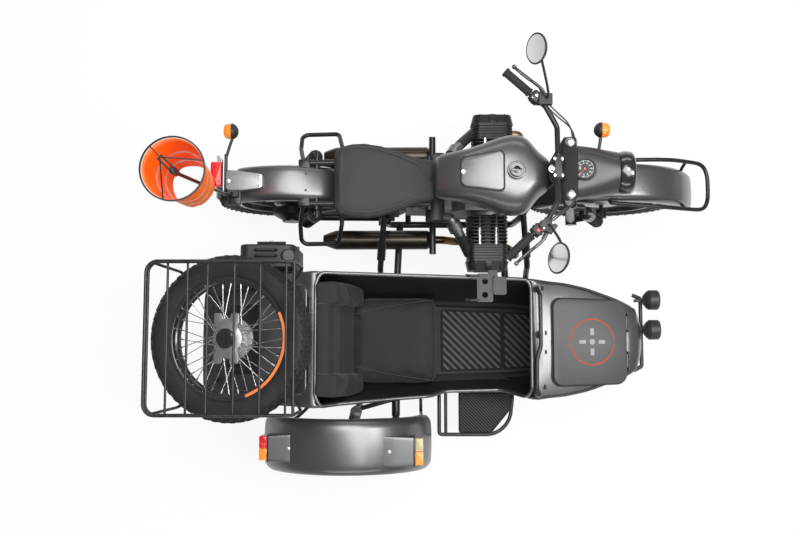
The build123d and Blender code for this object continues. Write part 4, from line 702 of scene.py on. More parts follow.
def swollen(bm, voxel, cap, pinned_below):
    """Foam under a cover: a closed form remeshed, crowned by cloth pressure, and smoothed."""
    foam = placed("foam", local(bm, "foam"))
    remesh = foam.modifiers.new("remesh", "REMESH")
    remesh.mode, remesh.voxel_size = "VOXEL", voxel
    dense = baked(foam)
    bpy.data.objects.remove(foam)
    pressed = {"gravity": 0.0, "use_pressure": True, "uniform_pressure_force": 4.0, "quality": 5}
    dense = draped(placed("foam", dense), lambda co: co.z < pinned_below, 20, cap, **pressed)
    shaped = copied(dense)
    for _ in range(2):
        bmesh.ops.smooth_vert(
            shaped, verts=shaped.verts[:], factor=0.5, use_axis_x=True, use_axis_y=True, use_axis_z=True
        )
    return shaped


# x, half width, lowest, highest, squareness
SADDLE = [
    (-0.484, 0.095, 0.732, 0.754, 2.6), (-0.476, 0.132, 0.722, 0.766, 3.0),
    (-0.455, 0.152, 0.716, 0.777, 3.4), (-0.4, 0.1655, 0.714, 0.781, 3.6), (-0.34, 0.1695, 0.714, 0.777, 3.8),
    (-0.27, 0.16, 0.714, 0.77, 3.8), (-0.2, 0.138, 0.714, 0.767, 3.6), (-0.13, 0.113, 0.716, 0.77, 3.4),
    (-0.085, 0.1, 0.718, 0.775, 3.2), (-0.052, 0.092, 0.724, 0.777, 2.9), (-0.036, 0.08, 0.734, 0.772, 2.8),
]
saddle = swollen(loft([super_oval(*row, count=32) for row in SADDLE]), 0.005, 0.006, 0.722)
saddle = show("rider_saddle", saddle, "chassis", saddle_leather, ["rider_seat"], subdivide=1)


def meshed(curve):
    """The mesh of a curve or of a text."""
    holder = placed(curve.name, curve)
    mesh = baked(holder)
    bpy.data.objects.remove(holder)
    return mesh


def bent_tube(name, points, radius, body, material, replaces=(), closed=False, sides=3):
    """A round bar or welt along one smooth line through its guide points."""
    line = bpy.data.curves.new(name, "CURVE")
    line.dimensions, line.bevel_depth, line.bevel_resolution, line.resolution_u = "3D", radius, sides, 8
    line.use_fill_caps = True
    spline = line.splines.new("NURBS")
    spline.points.add(len(points) - 1)
    for spot, place in zip(spline.points, points):
        spot.co = (*place, 1)
    spline.order_u, spline.use_endpoint_u, spline.use_cyclic_u = 3, not closed, closed
    show(name, meshed(line), body, material, replaces)


# welt between the top panel and the skirt
PANEL_EDGE = [
    (-0.447, 0.118, 0.7815), (-0.424, 0.136, 0.7835), (-0.37, 0.1445, 0.7845), (-0.3, 0.14, 0.779),
    (-0.22, 0.116, 0.7735), (-0.15, 0.088, 0.7755), (-0.1, 0.062, 0.78), (-0.08, 0.03, 0.7825),
]
panel = [(x, BIKE_Y + y, z) for x, y, z in PANEL_EDGE] + [
    (x, BIKE_Y - y, z) for x, y, z in reversed(PANEL_EDGE)
]
bent_tube("saddle_welt", panel, 0.0022, "chassis", piping_black, closed=True)

# ------------ fenders
# Deep-drawn steel mudguards in the same slate, crowned across and beaded at the edge. The rear
# one has a cast tail bracket on two bolts; the front one has a bumper hoop on small stays.


def crown(half, radius, skirt, thick=0.003):
    """Half-round band with turned-down skirts and a beaded edge, as a closed section."""
    outer = []
    for i in range(15):
        share = -1 + 2 * i / 14
        along = half * math.copysign(1 - (1 - abs(share)) ** 1.35, share) if abs(share) < 1 else half * share
        drop = 0.006 * (abs(along) / half) ** 2 + 0.018 * max(0.0, (abs(along) / half - 0.72) / 0.28) ** 2.2
        outer.append((along * 0.995, radius - drop))
    left = [(-half, radius - skirt + 0.004), (-half, radius - 0.038), (-half, radius - 0.03)]
    section = left + outer + [(-along, r) for along, r in reversed(left)]
    inner = [
        (along - math.copysign(thick, along) if abs(along) > 1e-6 else along, r - thick)
        for along, r in reversed(section)
    ]
    lip = radius - skirt
    bead = [(half, lip), (half - 0.004, lip - 0.001)]
    return section + bead + inner[1:-1] + [(-along, r) for along, r in reversed(bead)]


def mudguard(name, centre, half, radius, skirt, first, last, body, replaced):
    guard = spun(crown(half, radius, skirt), steps=56, arc=last - first, start=first)
    bmesh.ops.holes_fill(guard, edges=[e for e in guard.edges if e.is_boundary], sides=0)
    outward(guard)
    show(name, guard, body, slate, [replaced], crease=50, matrix=Matrix.Translation(centre))


mudguard("rear_mudguard", REAR_AXLE, 0.0775, 0.3875, 0.048, -34, 46, "chassis", "rear_fender")
mudguard("front_mudguard", (0.79, BIKE_Y, 0.342), 0.0835, 0.4035, 0.056, -66, 74, "steering", "front_fender")
mudguard("sidecar_mudguard", CAR_AXLE, 0.1195, 0.3915, 0.06, -86, 80, "chassis", "sidecar_fender")
fastener = finish(
    "zinc_fastener", (0.66, 0.66, 0.65), (0.45, 0.45, 0.44), 0.3, metallic=1.0, patch=(80, 0.6),
    grain=(900, 0.3),
)
bolt_head = local(spun([
    (0, 0), (0, 0.0085), (0.0015, 0.0085), (0.0018, 0.0062), (0.0045, 0.006), (0.0058, 0.0045),
    (0.006, 0.002), (0.0046, 0.0016), (0.0046, 0),
], steps=16), "bolt_head")


def bolts(name, body, places, size, way=(0, 0, 1), material=fastener):
    """Dome-headed bolts that point one way; a place may come with a way of its own."""
    bm = bmesh.new()
    for place in places:
        spot, toward = place if len(place) == 2 else (place, way)
        merge(bm, copied(bolt_head), Matrix.Translation(spot) @ facing(toward) @ Matrix.Scale(size, 4))
    show(name, bm, body, material)


def on_rear_guard(angle, along, lift=0.0):
    """A place on the rear mudguard's crown, and the way out from it."""
    way = Vector((math.sin(math.radians(angle)), 0, math.cos(math.radians(angle))))
    return Vector(REAR_AXLE) + Vector((0, along, 0)) + way * (0.3855 + lift), way


# strap with its two bolts, and two rubber plugs
bolts("rear_guard_bolts", "chassis", [on_rear_guard(41.5, y) for y in (-0.036, 0.036)], 1.15)
spot, way = on_rear_guard(41.5, 0, 0.0005)
show(
    "rear_guard_strap", blocks(((0.009, 0.086, 0.004), (0, 0, 0), 0.0015)), "chassis", black_enamel,
    matrix=Matrix.Translation(spot) @ Matrix.Rotation(math.radians(41.5), 4, "Y"),
)
plugs = bmesh.new()
for y in (-0.036, 0.037):
    spot, way = on_rear_guard(15.0, y, 0.0008)
    rod(plugs, 0.0055, 0.002, Matrix.Translation(spot) @ facing(way, "Z"), tip=0.005)
show("rear_guard_plugs", plugs, "chassis", seal_rubber)
# cast tail bracket
bracket_alloy = finish(
    "bracket_alloy", (0.27, 0.27, 0.275), (0.2, 0.2, 0.205), 0.38, metallic=0.7, patch=(18, 0.5),
    grain=(700, 0.3), bump=0.0002, coat=0.2, coat_roughness=0.3,
)
bracket = plate([
    (-0.792, -0.03), (-0.88, -0.04), (-0.955, -0.04), (-0.955, 0.052), (-0.88, 0.046), (-0.792, 0.034),
], 0.706, 0.7415, corner=0.016, edge=0.004)
show(
    "tail_bracket", bracket, "chassis", bracket_alloy, ["rear_fender"],
    matrix=Matrix.Translation((0, BIKE_Y, 0)),
)
spots = [(-0.806, BIKE_Y - 0.018, 0.7412), (-0.806, BIKE_Y + 0.022, 0.7412), (-0.944, 0.412, 0.7412)]
bolts("tail_bracket_bolts", "chassis", spots, 1.1)
lugs = blocks(*[((0.048, 0.048, 0.006), (-0.614, BIKE_Y + side * 0.08, 0.709), 0.0015) for side in (1, -1)],
              ((0.06, 0.075, 0.016), (-0.918, 0.345, 0.73), 0.004))
show("rear_guard_lugs", lugs, "chassis", black_enamel, ["rear_fender"])
# bumper hoop of the front mudguard and its stays
hoop = [
    (0.735, 0.316, 0.735), (0.86, 0.309, 0.7175), (1.01, 0.302, 0.69), (1.11, 0.302, 0.638),
    (1.182, 0.305, 0.6), (1.209, 0.345, 0.5865), (1.212, BIKE_Y, 0.585), (1.209, 0.475, 0.5865),
    (1.182, 0.515, 0.6), (1.11, 0.518, 0.638), (1.01, 0.518, 0.69), (0.86, 0.511, 0.7175),
    (0.735, 0.504, 0.735),
]
bent_tube("front_hoop", hoop, 0.0095, "steering", black_enamel, ["front_fender"])
for side, name in ((1, "left"), (-1, "right")):
    bent_tube(
        f"front_hoop_foot_{name}",
        [
            (0.735, BIKE_Y + side * 0.095, 0.735), (0.733, BIKE_Y + side * 0.088, 0.724),
            (0.731, BIKE_Y + side * 0.074, 0.712),
        ],
        0.0075, "steering", black_enamel, ["front_fender"],
    )
    bent_tube(
        f"front_hoop_stay_{name}",
        [
            (1.1, BIKE_Y + side * 0.108, 0.642), (1.095, BIKE_Y + side * 0.1, 0.615),
            (1.09, BIKE_Y + side * 0.08, 0.59),
        ],
        0.0075, "steering", black_enamel, ["front_fender"],
    )
    lug = blocks(((0.02, 0.01, 0.048), (0.592, BIKE_Y + side * 0.0845, 0.638), 0.002))
    show(f"front_guard_lug_{name}", lug, "steering", black_enamel, ["front_fender"])
# stays of the sidecar wheel's mudguard
for name, line in (
    (
        "front",
        [
            (-0.09, -0.471, 0.245), (-0.09, -0.56, 0.252), (-0.09, -0.622, 0.262), (-0.09, -0.627, 0.3),
            (-0.09, -0.627, 0.5),
        ],
    ),
    (
        "rear",
        [
            (-0.52, -0.471, 0.245), (-0.62, -0.59, 0.278), (-0.7, -0.665, 0.3), (-0.745, -0.64, 0.36),
            (-0.77, -0.627, 0.42),
        ],
    ),
):
    bent_tube(
        f"sidecar_guard_stay_{name}", line, 0.0078, "chassis", black_enamel, ["sidecar_fender"]
    )
post_plate = blocks(
    ((0.04, 0.006, 0.106), (-0.385, -0.624, 0.659), 0.0015),
    ((0.04, 0.033, 0.006), (-0.385, -0.6175, 0.609), 0.0015),
)
show("sidecar_guard_bracket", post_plate, "chassis", black_enamel, ["sidecar_fender"])

# ------------ lamp shell, headlamp, speedometer
# A pressed shell in darker grey carries the lamp ring in front and the speedometer on top.
# The dial is a plain black disc under glass with pale marks and a red pointer.
shell_grey = finish(
    "shell_grey", (0.045, 0.046, 0.049), (0.036, 0.037, 0.04), 0.42, metallic=0.45, patch=(6, 0.5),
    grain=(1500, 0.22), spread=0.06, bump=0.00008, coat=0.25, coat_roughness=0.25,
)
SHELL = [
    (0.513, 0.1, 0.862, 0.985, 4.2), (0.516, 0.11, 0.852, 0.998, 4.4), (0.545, 0.1115, 0.851, 1.000, 4.0),
    (0.6, 0.1075, 0.848, 1.001, 3.2), (0.65, 0.099, 0.843, 1.005, 2.6), (0.69, 0.092, 0.837, 1.01, 2.2),
    (0.716, 0.0885, 0.8365, 1.0135, 2.0), (0.7195, 0.088, 0.837, 1.013, 2.0),
]
shell = loft([super_oval(*row, count=32) for row in SHELL])
show("lamp_shell", shell, "steering", shell_grey, ["nacelle"], subdivide=2)
# lamps are turned along Y; this turns them to face forward
AHEAD = Matrix.Rotation(-math.pi / 2, 4, "Z")
lens_glass = bpy.data.materials.new("lamp_glass")
lens_glass.use_nodes = True
tree = lens_glass.node_tree
flutes = node(
    tree, "ShaderNodeTexWave", {"bands_direction": "Y"}, Vector=on_object(tree), Scale=60.0, Distortion=0.4
)
ripple = node(tree, "ShaderNodeBump", Height=flutes.outputs["Fac"], Distance=0.0006, Strength=0.6)
tune(
    shader_of(lens_glass), Base_Color=(0.96, 0.97, 0.98, 1), Roughness=0.04, Transmission_Weight=0.92,
    Normal=ripple.outputs[0],
)
mirror_silver = finish(
    "reflector_silver", (0.86, 0.86, 0.86), (0.8, 0.8, 0.8), 0.08, metallic=1.0, patch=(8, 0.2),
    grain=(200, 0.02), spread=0.02, bump=0.00001,
)
for name, material, shape in (
    (
        "ring", gloss_black,
        spun(
            [
                (0.0003, 0.07), (0.0003, 0.086), (0.006, 0.0885), (0.02, 0.0928), (0.03, 0.093),
                (0.046, 0.093), (0.056, 0.0895), (0.06, 0.084), (0.06, 0.08), (0.054, 0.0785), (0.05, 0.074),
                (0.044, 0.07),
            ],
            steps=96,
        ),
    ),
    (
        "lens", lens_glass,
        spun(
            [
                (0.052, 0.0785), (0.056, 0.06), (0.0595, 0.035), (0.061, 0.0), (0.058, 0.0), (0.0565, 0.035),
                (0.053, 0.06), (0.049, 0.0785),
            ],
            64, False,
        ),
    ),
    (
        "bowl", mirror_silver,
        spun([(0.047, 0.078), (0.03, 0.062), (0.012, 0.036), (0.004, 0.012), (0.004, 0.0)]),
    ),
    (
        "bulb", spoke_steel,
        spun([(0.004, 0), (0.004, 0.009), (0.03, 0.009), (0.04, 0.006), (0.043, 0)], steps=24),
    ),
):
    at = Matrix.Translation((0.72, BIKE_Y, 0.925)) @ AHEAD
    show(f"headlamp_{name}", shape, "steering", material, ["headlamp"], matrix=at)
screws = [(0.745, BIKE_Y, 1.018), ((0.745, BIKE_Y, 0.8325), (0, 0, -1))]
bolts("headlamp_screws", "steering", screws, 0.7)

dial_black = finish(
    "dial_black", (0.018, 0.019, 0.021), (0.03, 0.03, 0.032), 0.5, patch=(60, 0.3), grain=(900, 0.1)
)
dial_white = finish(
    "dial_white", (0.82, 0.82, 0.8), (0.74, 0.74, 0.72), 0.5, patch=(60, 0.2), grain=(900, 0.05)
)
needle_red = finish(
    "needle_red", (0.72, 0.03, 0.02), (0.6, 0.025, 0.02), 0.4, patch=(60, 0.2), grain=(900, 0.05), coat=0.4
)
lcd_grey = finish(
    "counter_grey", (0.3, 0.34, 0.28), (0.25, 0.29, 0.24), 0.35, patch=(200, 0.4), grain=(900, 0.1)
)
pod_at = Matrix.Translation((0.575, BIKE_Y, 0.985)) @ facing((-0.25, 0, 1))
pod = spun([
    (-0.01, 0.04), (-0.01, 0.045), (0.02, 0.0455), (0.0385, 0.0458), (0.0425, 0.0445), (0.044, 0.0415),
    (0.0435, 0.0395), (0.0385, 0.0385), (0.0365, 0.0385), (0.0365, 0.0),
])
dial = spun([(0.0366, 0.0), (0.0366, 0.038), (0.0372, 0.0384), (0.0374, 0.037), (0.0374, 0.0)])
marks = bmesh.new()
for i in range(41):
    size, radius = ((0.0017, 0.0003, 0.0075), 0.0325) if i % 5 == 0 else ((0.0008, 0.0003, 0.004), 0.034)
    block(marks, size, (0, 0.03765, radius), matrix=Matrix.Rotation(math.radians(-135 + i * 6.75), 4, "Y"))
needle = blocks(
    ((0.0016, 0.0006, 0.031), (0, 0.0385, 0.0125), 0.0002, 2, Matrix.Rotation(math.radians(-128), 4, "Y"))
)
rod(
    needle, 0.0048, 0.0024, Matrix.Translation((0, 0.0386, 0)) @ Matrix.Rotation(-math.pi / 2, 4, "X"), 24,
    0.0042,
)
window = blocks(((0.0135, 0.0006, 0.0085), (0.004, 0.0378, -0.0205), 0.0002))
for name, shape, material, replaced in (
    ("pod", pod, piping_black, ["nacelle"]), ("dial", dial, dial_black, ()), ("marks", marks, dial_white, ()),
    ("needle", needle, needle_red, ()), ("counter", window, lcd_grey, ()),
):
    show(f"speedometer_{name}", shape, "steering", material, replaced, matrix=pod_at)
# generic numbers beside the long marks
for i in range(9):
    text = bpy.data.curves.new(f"number_{i}", "FONT")
    text.body, text.size, text.align_x, text.align_y, text.extrude = str(
        i * 20
    ), 0.0072, "CENTER", "CENTER", 0.0001
    number = meshed(text)
    angle = math.radians(-135 + i * 33.75)
    spot = Matrix.Translation((math.sin(angle) * 0.0235, 0.0377, math.cos(angle) * 0.0235))
    upward = Matrix.Rotation(math.radians(90), 4, "Y") @ Matrix.Rotation(math.radians(-90), 4, "X")
    number.transform(pod_at @ spot @ upward)
    show(f"speedometer_number_{i * 20}", number, "steering", dial_white)

# ------------ turn lamps
# Round stalk lamps: a black moulded cup with a domed amber lens that snaps over its rim.


def lens_plastic(name, colour, deep):
    """Clear coloured plastic with moulded prisms that run across it."""
    material = bpy.data.materials.new(name)
    material.use_nodes = True
    tree = material.node_tree
    wave = {"bands_direction": "Y", "wave_profile": "SIN"}
    prisms = node(
        tree, "ShaderNodeTexWave", wave, Vector=on_object(tree), Scale=95.0, Distortion=0.0
    ).outputs["Fac"]
    shade = node(tree, "ShaderNodeMix", {"data_type": "RGBA"}, i0=prisms, i6=(*colour, 1), i7=(*deep, 1))
    lines = node(tree, "ShaderNodeBump", Height=prisms, Distance=0.0008, Strength=0.7)
    tune(
        shader_of(material), Base_Color=shade.outputs["Result"], Normal=lines.outputs[0],
        Emission_Color=shade.outputs["Result"], Emission_Strength=0.12, Roughness=0.16, Coat_Weight=0.8,
        Coat_Roughness=0.05, Subsurface_Weight=0.15, Subsurface_Radius=(0.01, 0.003, 0.001),
    )
    return material


amber = lens_plastic("amber_lens", (1.0, 0.31, 0.012), (0.85, 0.2, 0.008))
red_lens = lens_plastic("red_lens", (0.8, 0.012, 0.01), (0.55, 0.006, 0.006))
clear_lens = lens_plastic("clear_lens", (0.46, 0.4, 0.2), (0.34, 0.29, 0.13))
cup_black = finish(
    "cup_black", (0.014, 0.014, 0.015), (0.026, 0.026, 0.027), 0.48, patch=(40, 0.5), grain=(700, 0.3),
    bump=0.0003,
)
for name, place, ahead, body, radius, replaced in (
    ("front_left", (0.66, 0.593, 0.93), 1, "steering", 0.033, "nacelle"),
    ("rear_left", (-0.925, 0.645, 0.69), -1, "chassis", 0.036, "tail_lamp"),
):
    at = Matrix.Translation(place) @ Matrix.Rotation(-ahead * math.pi / 2, 4, "Z")
    back, front = (-0.036, 0.03) if ahead > 0 else (-0.015, 0.05)
    middle = back + (front - back) * 0.47
    cup = spun([
        (back, 0), (back + 0.002, radius * 0.35), (back + 0.01, radius * 0.72), (back + 0.022, radius * 0.95),
        (middle - 0.003, radius), (middle, radius), (middle, radius * 0.9), (middle, 0),
    ], steps=48)
    show(f"turn_lamp_cup_{name}", cup, body, cup_black, [replaced], matrix=at)
    lens = spun(
        [
            (middle, 0), (middle, radius * 0.97), (middle + 0.012, radius * 0.965),
            (front - 0.008, radius * 0.86), (front - 0.003, radius * 0.74), (front, radius * 0.5), (front, 0),
        ],
        steps=48,
    )
    show(f"turn_lamp_lens_{name}", lens, body, amber, [replaced], matrix=at)
bent_tube(
    "turn_lamp_stalk_front",
    [(0.64, 0.48, 0.925), (0.646, 0.52, 0.926), (0.652, 0.552, 0.928), (0.655, 0.582, 0.93)], 0.0068,
    "steering", cup_black, ["nacelle"],
)
bent_tube(
    "turn_lamp_stalk_rear",
    [(-0.96, 0.53, 0.7), (-0.95, 0.57, 0.697), (-0.938, 0.61, 0.692), (-0.93, 0.64, 0.69)], 0.0068, "chassis",
    cup_black, ["tail_lamp"],
)

# ------------ tail lamp and blank plate
# A black housing with a thin white reflector strip, a wide red lens with a clear lower edge, and
# under it a blank steel plate that hangs on a small bracket by two holes.
tail = blocks(
    ((0.008, 0.168, 0.047), (-0.9595, 0.4495, 0.714), 0.003),
    ((0.008, 0.13, 0.047), (-0.972, 0.448, 0.699), 0.003),
    ((0.026, 0.03, 0.05), (-0.985, 0.448, 0.668), 0.003),
)
strip = blocks(((0.0048, 0.16, 0.046), (-0.9658, 0.4495, 0.713), 0.0015))
lens = blocks(((0.053, 0.1115, 0.0385), (-1.0025, 0.448, 0.697), 0.009, 4))
for name, shape, material in (
    ("housing", tail, cup_black), ("reflector", strip, dial_white), ("lens", lens, red_lens)
):
    show(f"tail_{name}", shape, "chassis", material, ["tail_lamp"])
plate_grey = finish(
    "blank_plate", (0.55, 0.55, 0.54), (0.46, 0.46, 0.45), 0.45, metallic=0.3, patch=(14, 0.4),
    grain=(500, 0.2), coat=0.2,
)
blank = plate(
    [(-0.06, -0.056), (0.136, -0.056), (0.136, 0.02), (-0.06, 0.02)], 0, 0.0058, corner=0.01, edge=0.0012
)
for hole_y in (-0.022, 0.098):
    rim = spun([(0.0052, 0.0036), (0.0052, 0.0062), (0.006, 0.006), (0.006, 0.0036)], steps=24)
    merge(blank, rim, Matrix.Translation((hole_y, -0.016, 0)) @ UPRIGHT)
show(
    "blank_plate", blank, "chassis", plate_grey, ["tail_lamp"],
    matrix=Matrix.Translation((-1.0062, BIKE_Y, 0.638)) @ Matrix(
        ((0, 0, -1, 0), (1, 0, 0, 0), (0, 1, 0, 0), (0, 0, 0, 1))
    ),
)

# ------------ handlebar, controls and mirrors
# Ribbed rubber grips, moulded switch boxes, a brake fluid box with its screwed lid, cast perches
# and levers, black control cables, and round mirrors on bent stems.
grip_rubber = finish(
    "grip_rubber", (0.022, 0.022, 0.023), (0.034, 0.034, 0.034), 0.78, patch=(40, 0.4), grain=(700, 0.3),
    bump=0.0003, specular=0.3,
)
lever_alloy = finish(
    "lever_alloy", (0.17, 0.17, 0.175), (0.1, 0.1, 0.105), 0.36, metallic=0.8, patch=(50, 0.6),
    grain=(800, 0.3),
)
button_red = finish(
    "button_red", (0.74, 0.025, 0.02), (0.62, 0.02, 0.018), 0.35, patch=(50, 0.2), grain=(600, 0.1), coat=0.5
)
for side, name in ((1, "left"), (-1, "right")):
    elbow, tip = Vector((0.392, BIKE_Y + side * 0.23, 1.126)), Vector((0.236, BIKE_Y + side * 0.374, 1.114))
    way = (tip - elbow).normalized()
    at_tip = Matrix.Translation(tip) @ facing(way)
    ribs = [(0.0, 0.0), (0.0, 0.0192), (0.0055, 0.0194)]
    for i in range(22):
        ribs += [(0.008 + i * 0.005, 0.0164), (0.0095 + i * 0.005, 0.0172), (0.0115 + i * 0.005, 0.0172)]
    ribs += [(0.122, 0.0166), (0.1245, 0.0192), (0.1305, 0.0194), (0.1322, 0.018), (0.1322, 0.0)]
    show(f"grip_{name}", spun(ribs, steps=36), "steering", grip_rubber, crease=30,
         matrix=Matrix.Translation(tip - way * 0.128) @ facing(way))
    boxed = blocks(
        ((0.046, 0.04, 0.05), (0, -0.158, 0.002), 0.008, 3),
        ((0.034, 0.012, 0.034), (0, -0.182, 0.002), 0.005),
        ((0.052, 0.002, 0.0525), (0, -0.158, 0.002), 0.0006),
    )
    show(f"switch_box_{name}", boxed, "steering", cup_black, matrix=at_tip)
    keys = blocks(((0.014, 0.013, 0.006), (0.004 * side, -0.158, 0.0285), 0.002))
    if name == "left":
        block(keys, (0.008, 0.008, 0.006), (-0.014, -0.152, 0.0275), bevel=0.002)
    key_material = button_red if name == "right" else spoke_steel
    show(f"switch_key_{name}", keys, "steering", key_material, matrix=at_tip)
    perch = tip - way * 0.186 + Vector((0.02, side * 0.006, 0.004))
    if name == "right":
        bottle = blocks(
            ((0.056, 0.042, 0.026), (0, 0, 0), 0.006, 3), ((0.06, 0.046, 0.006), (0, 0, 0.0155), 0.002)
        )
        bottle_at = Matrix.Translation(perch + Vector((-0.002, 0, 0.019))) @ Matrix.Rotation(
            math.radians(-38), 4, "Z"
        )
        show("brake_fluid_box", bottle, "steering", cup_black, matrix=bottle_at)
        screws = [perch + Vector((dx, dy, 0.0372)) for dx, dy in ((-0.02, -0.01), (0.017, 0.012))]
        bolts("fluid_box_screws", "steering", screws, 0.5)
    lever = [
        perch + way * reach + Vector((dx, side * dy, dz)) for reach, dx, dy, dz in (
            (0, 0.004, -0.004, 0.006), (0.03, 0.022, 0.01, 0.0), (0.075, 0.024, 0.018, -0.004),
            (0.135, 0.016, 0.012, -0.006), (0.192, 0.018, 0.014, -0.006),
        )
    ]
    bent_tube(f"lever_{name}", lever, 0.0063, "steering", lever_alloy)
    knob = bmesh.new()
    bmesh.ops.create_uvsphere(knob, u_segments=20, v_segments=12, radius=0.0095)
    knob_at = Matrix.Translation(lever[-1])
    show(f"lever_ball_{name}", knob, "steering", lever_alloy, matrix=knob_at)
    # cables loop from the perch forward and down behind the lamp shell
    for k, (drop, reach, end) in enumerate(((0.000, 0.06, 0.06), (0.012, 0.085, 0.078))):
        start = perch + Vector((0.01, -side * 0.01 - side * 0.012 * k, -0.004 - drop))
        line = [
            start, start + Vector((0.028, -side * 0.03, -0.004)),
            start + Vector((0.075 + reach * 0.3, -side * 0.075, -0.035)),
            (0.52 + 0.01 * k, BIKE_Y + side * (0.118 + 0.006 * k), 1.02 - 0.012 * k),
            (0.53, BIKE_Y + side * end, 1.006), (0.536, BIKE_Y + side * end * 0.9, 0.992),
        ]
        bent_tube(f"cable_{name}_{k}", line, 0.0032, "steering", piping_black)
# round mirrors, each with its stem, cup and glass
for side, name, foot, head in (
    (1, "left", Vector((0.392, 0.666, 1.152)), Vector((0.328, 0.81, 1.33))),
    (-1, "right", Vector((0.392, 0.16, 1.152)), Vector((0.4, 0.011, 1.33))),
):
    stem = [start + Vector((dx, side * dy, dz)) for start, dx, dy, dz in (
        (foot, 0, 0, 0), (foot, 0, 0.002, 0.022), (foot, 0.002, 0.01, 0.046), (head, 0.024, -0.045, -0.02),
        (head, 0.012, -0.01, -0.004),
    )]
    bent_tube(f"mirror_stem_{name}", stem, 0.0052, "steering", cup_black, ["mirrors"])
    cup = spun([
        (-0.022, 0), (-0.0215, 0.018), (-0.018, 0.038), (-0.01, 0.052), (-0.002, 0.059), (0.0025, 0.0598),
        (0.0042, 0.058), (0.0042, 0.0545), (0.0028, 0.0535), (0.0028, 0),
    ])
    disc = spun([(0.003, 0), (0.003, 0.0532), (0.0036, 0.0532), (0.0042, 0.03), (0.0044, 0)])
    at = Matrix.Translation(head) @ facing((-0.84, -0.1 * side, 0.5))
    show(f"mirror_cup_{name}", cup, "steering", cup_black, ["mirrors"], matrix=at)
    show(f"mirror_glass_{name}", disc, "steering", mirror_silver, ["mirrors"], matrix=at)
clamp = blocks(
    ((0.044, 0.03, 0.03), (0.452, BIKE_Y - 0.034, 1.044), 0.006, 3),
    ((0.044, 0.03, 0.03), (0.452, BIKE_Y + 0.034, 1.044), 0.006, 3),
    ((0.03, 0.088, 0.012), (0.452, BIKE_Y, 1.056), 0.003),
)
show("bar_clamp", clamp, "steering", cup_black)
clamp_bolts = [(0.452 + dx, BIKE_Y + y, 1.0605) for dx in (-0.014, 0.014) for y in (-0.034, 0.034)]
bolts("bar_clamp_bolts", "steering", clamp_bolts, 0.8)
knob = spun([
    (0, 0), (0, 0.017), (0.006, 0.0175), (0.009, 0.016), (0.01, 0.012), (0.0085, 0.01), (0.0085, 0),
], steps=40)
knob_at = Matrix.Translation((0.431, 0.406, 1.03)) @ UPRIGHT
show("steering_lock", knob, "steering", fastener, matrix=knob_at)
for side, name in ((1, "left"), (-1, "right")):
    cap = spun([
        (0, 0), (0, 0.0205), (0.004, 0.021), (0.008, 0.0195), (0.0115, 0.015), (0.012, 0.0075),
        (0.0105, 0.0065), (0.0105, 0),
    ], steps=40)
    raked = facing((-math.sin(math.radians(22)), 0, math.cos(math.radians(22))))
    cap_at = Matrix.Translation((0.507, BIKE_Y + side * 0.108, 1.0228)) @ raked
    show(f"fork_cap_{name}", cap, "steering", fastener, matrix=cap_at)

# ------------ sidecar body
# A boat-shaped steel body: tapered nose and tail, sides that lean in towards the floor, an open
# cockpit with a low sill on the entry side, and a rolled edge all round the opening.
# half widths, and heights of the deck and of the sill on the entry side, from tail to nose
HALVES = [
    (-1.062, 0.215), (-1.02, 0.268), (-0.7, 0.292), (-0.53, 0.294), (0.4, 0.272), (0.54, 0.262),
    (0.64, 0.243), (0.775, 0.2), (0.868, 0.158), (0.902, 0.096),
]
DECK_Z, DECK_TILT = 0.684, math.radians(8.4)
nose_end = DECK_Z - 0.444 * math.tan(DECK_TILT)
RIDGE = [
    (-1.1, TRUNK_Z - 0.54 * math.tan(TRUNK_TILT)), (-0.56, TRUNK_Z), (-0.52, 0.735), (0.33, 0.7),
    (0.386, DECK_Z), (0.83, nose_end), (0.885, nose_end - 0.026), (0.925, 0.52), (0.96, 0.5),
]
SILL = [
    (-0.51, 0.733), (-0.49, 0.702), (-0.24, 0.6), (-0.045, 0.54), (0.004, 0.472), (0.3, 0.47),
    (0.352, 0.56), (0.384, DECK_Z),
]


def along(table, x, blur=0.0):
    """Straight-line value from a table, blurred over a length to round its corners."""
    xs, ys = zip(*table)
    return float(sum(np.interp(x + blur * k / 3, xs, ys) for k in range(-3, 4)) / 7)


def rim_height(x, side):
    height = along(RIDGE, x, 0.012)
    if side < 0 and -0.52 < x < 0.392:
        height = min(height, along(SILL, x, 0.028))
    return height


def hull_point(x, z, side, inset=0.0):
    """Place on the body's side: pulled in at tail and nose, and leaning in towards the floor."""
    levels = (0.285, 0.345, 0.52, 0.79)
    lean = float(np.interp(z, levels, (0.118, 0.074, 0.026, -0.008)))
    pull = float(
        np.interp(z, levels, (0.12, 0.06, 0.008, -0.006) if x < -0.1 else (0.175, 0.09, 0.006, -0.014))
    ) + inset
    share = (x + 0.1) / (0.962 if x < -0.1 else 1.002)
    half = max(along(HALVES, x, 0.02 if -1.04 < x < 0.86 else 0.0) - lean - inset, 0.02)
    return Vector((x - pull * share, CAR_Y + side * half, z))


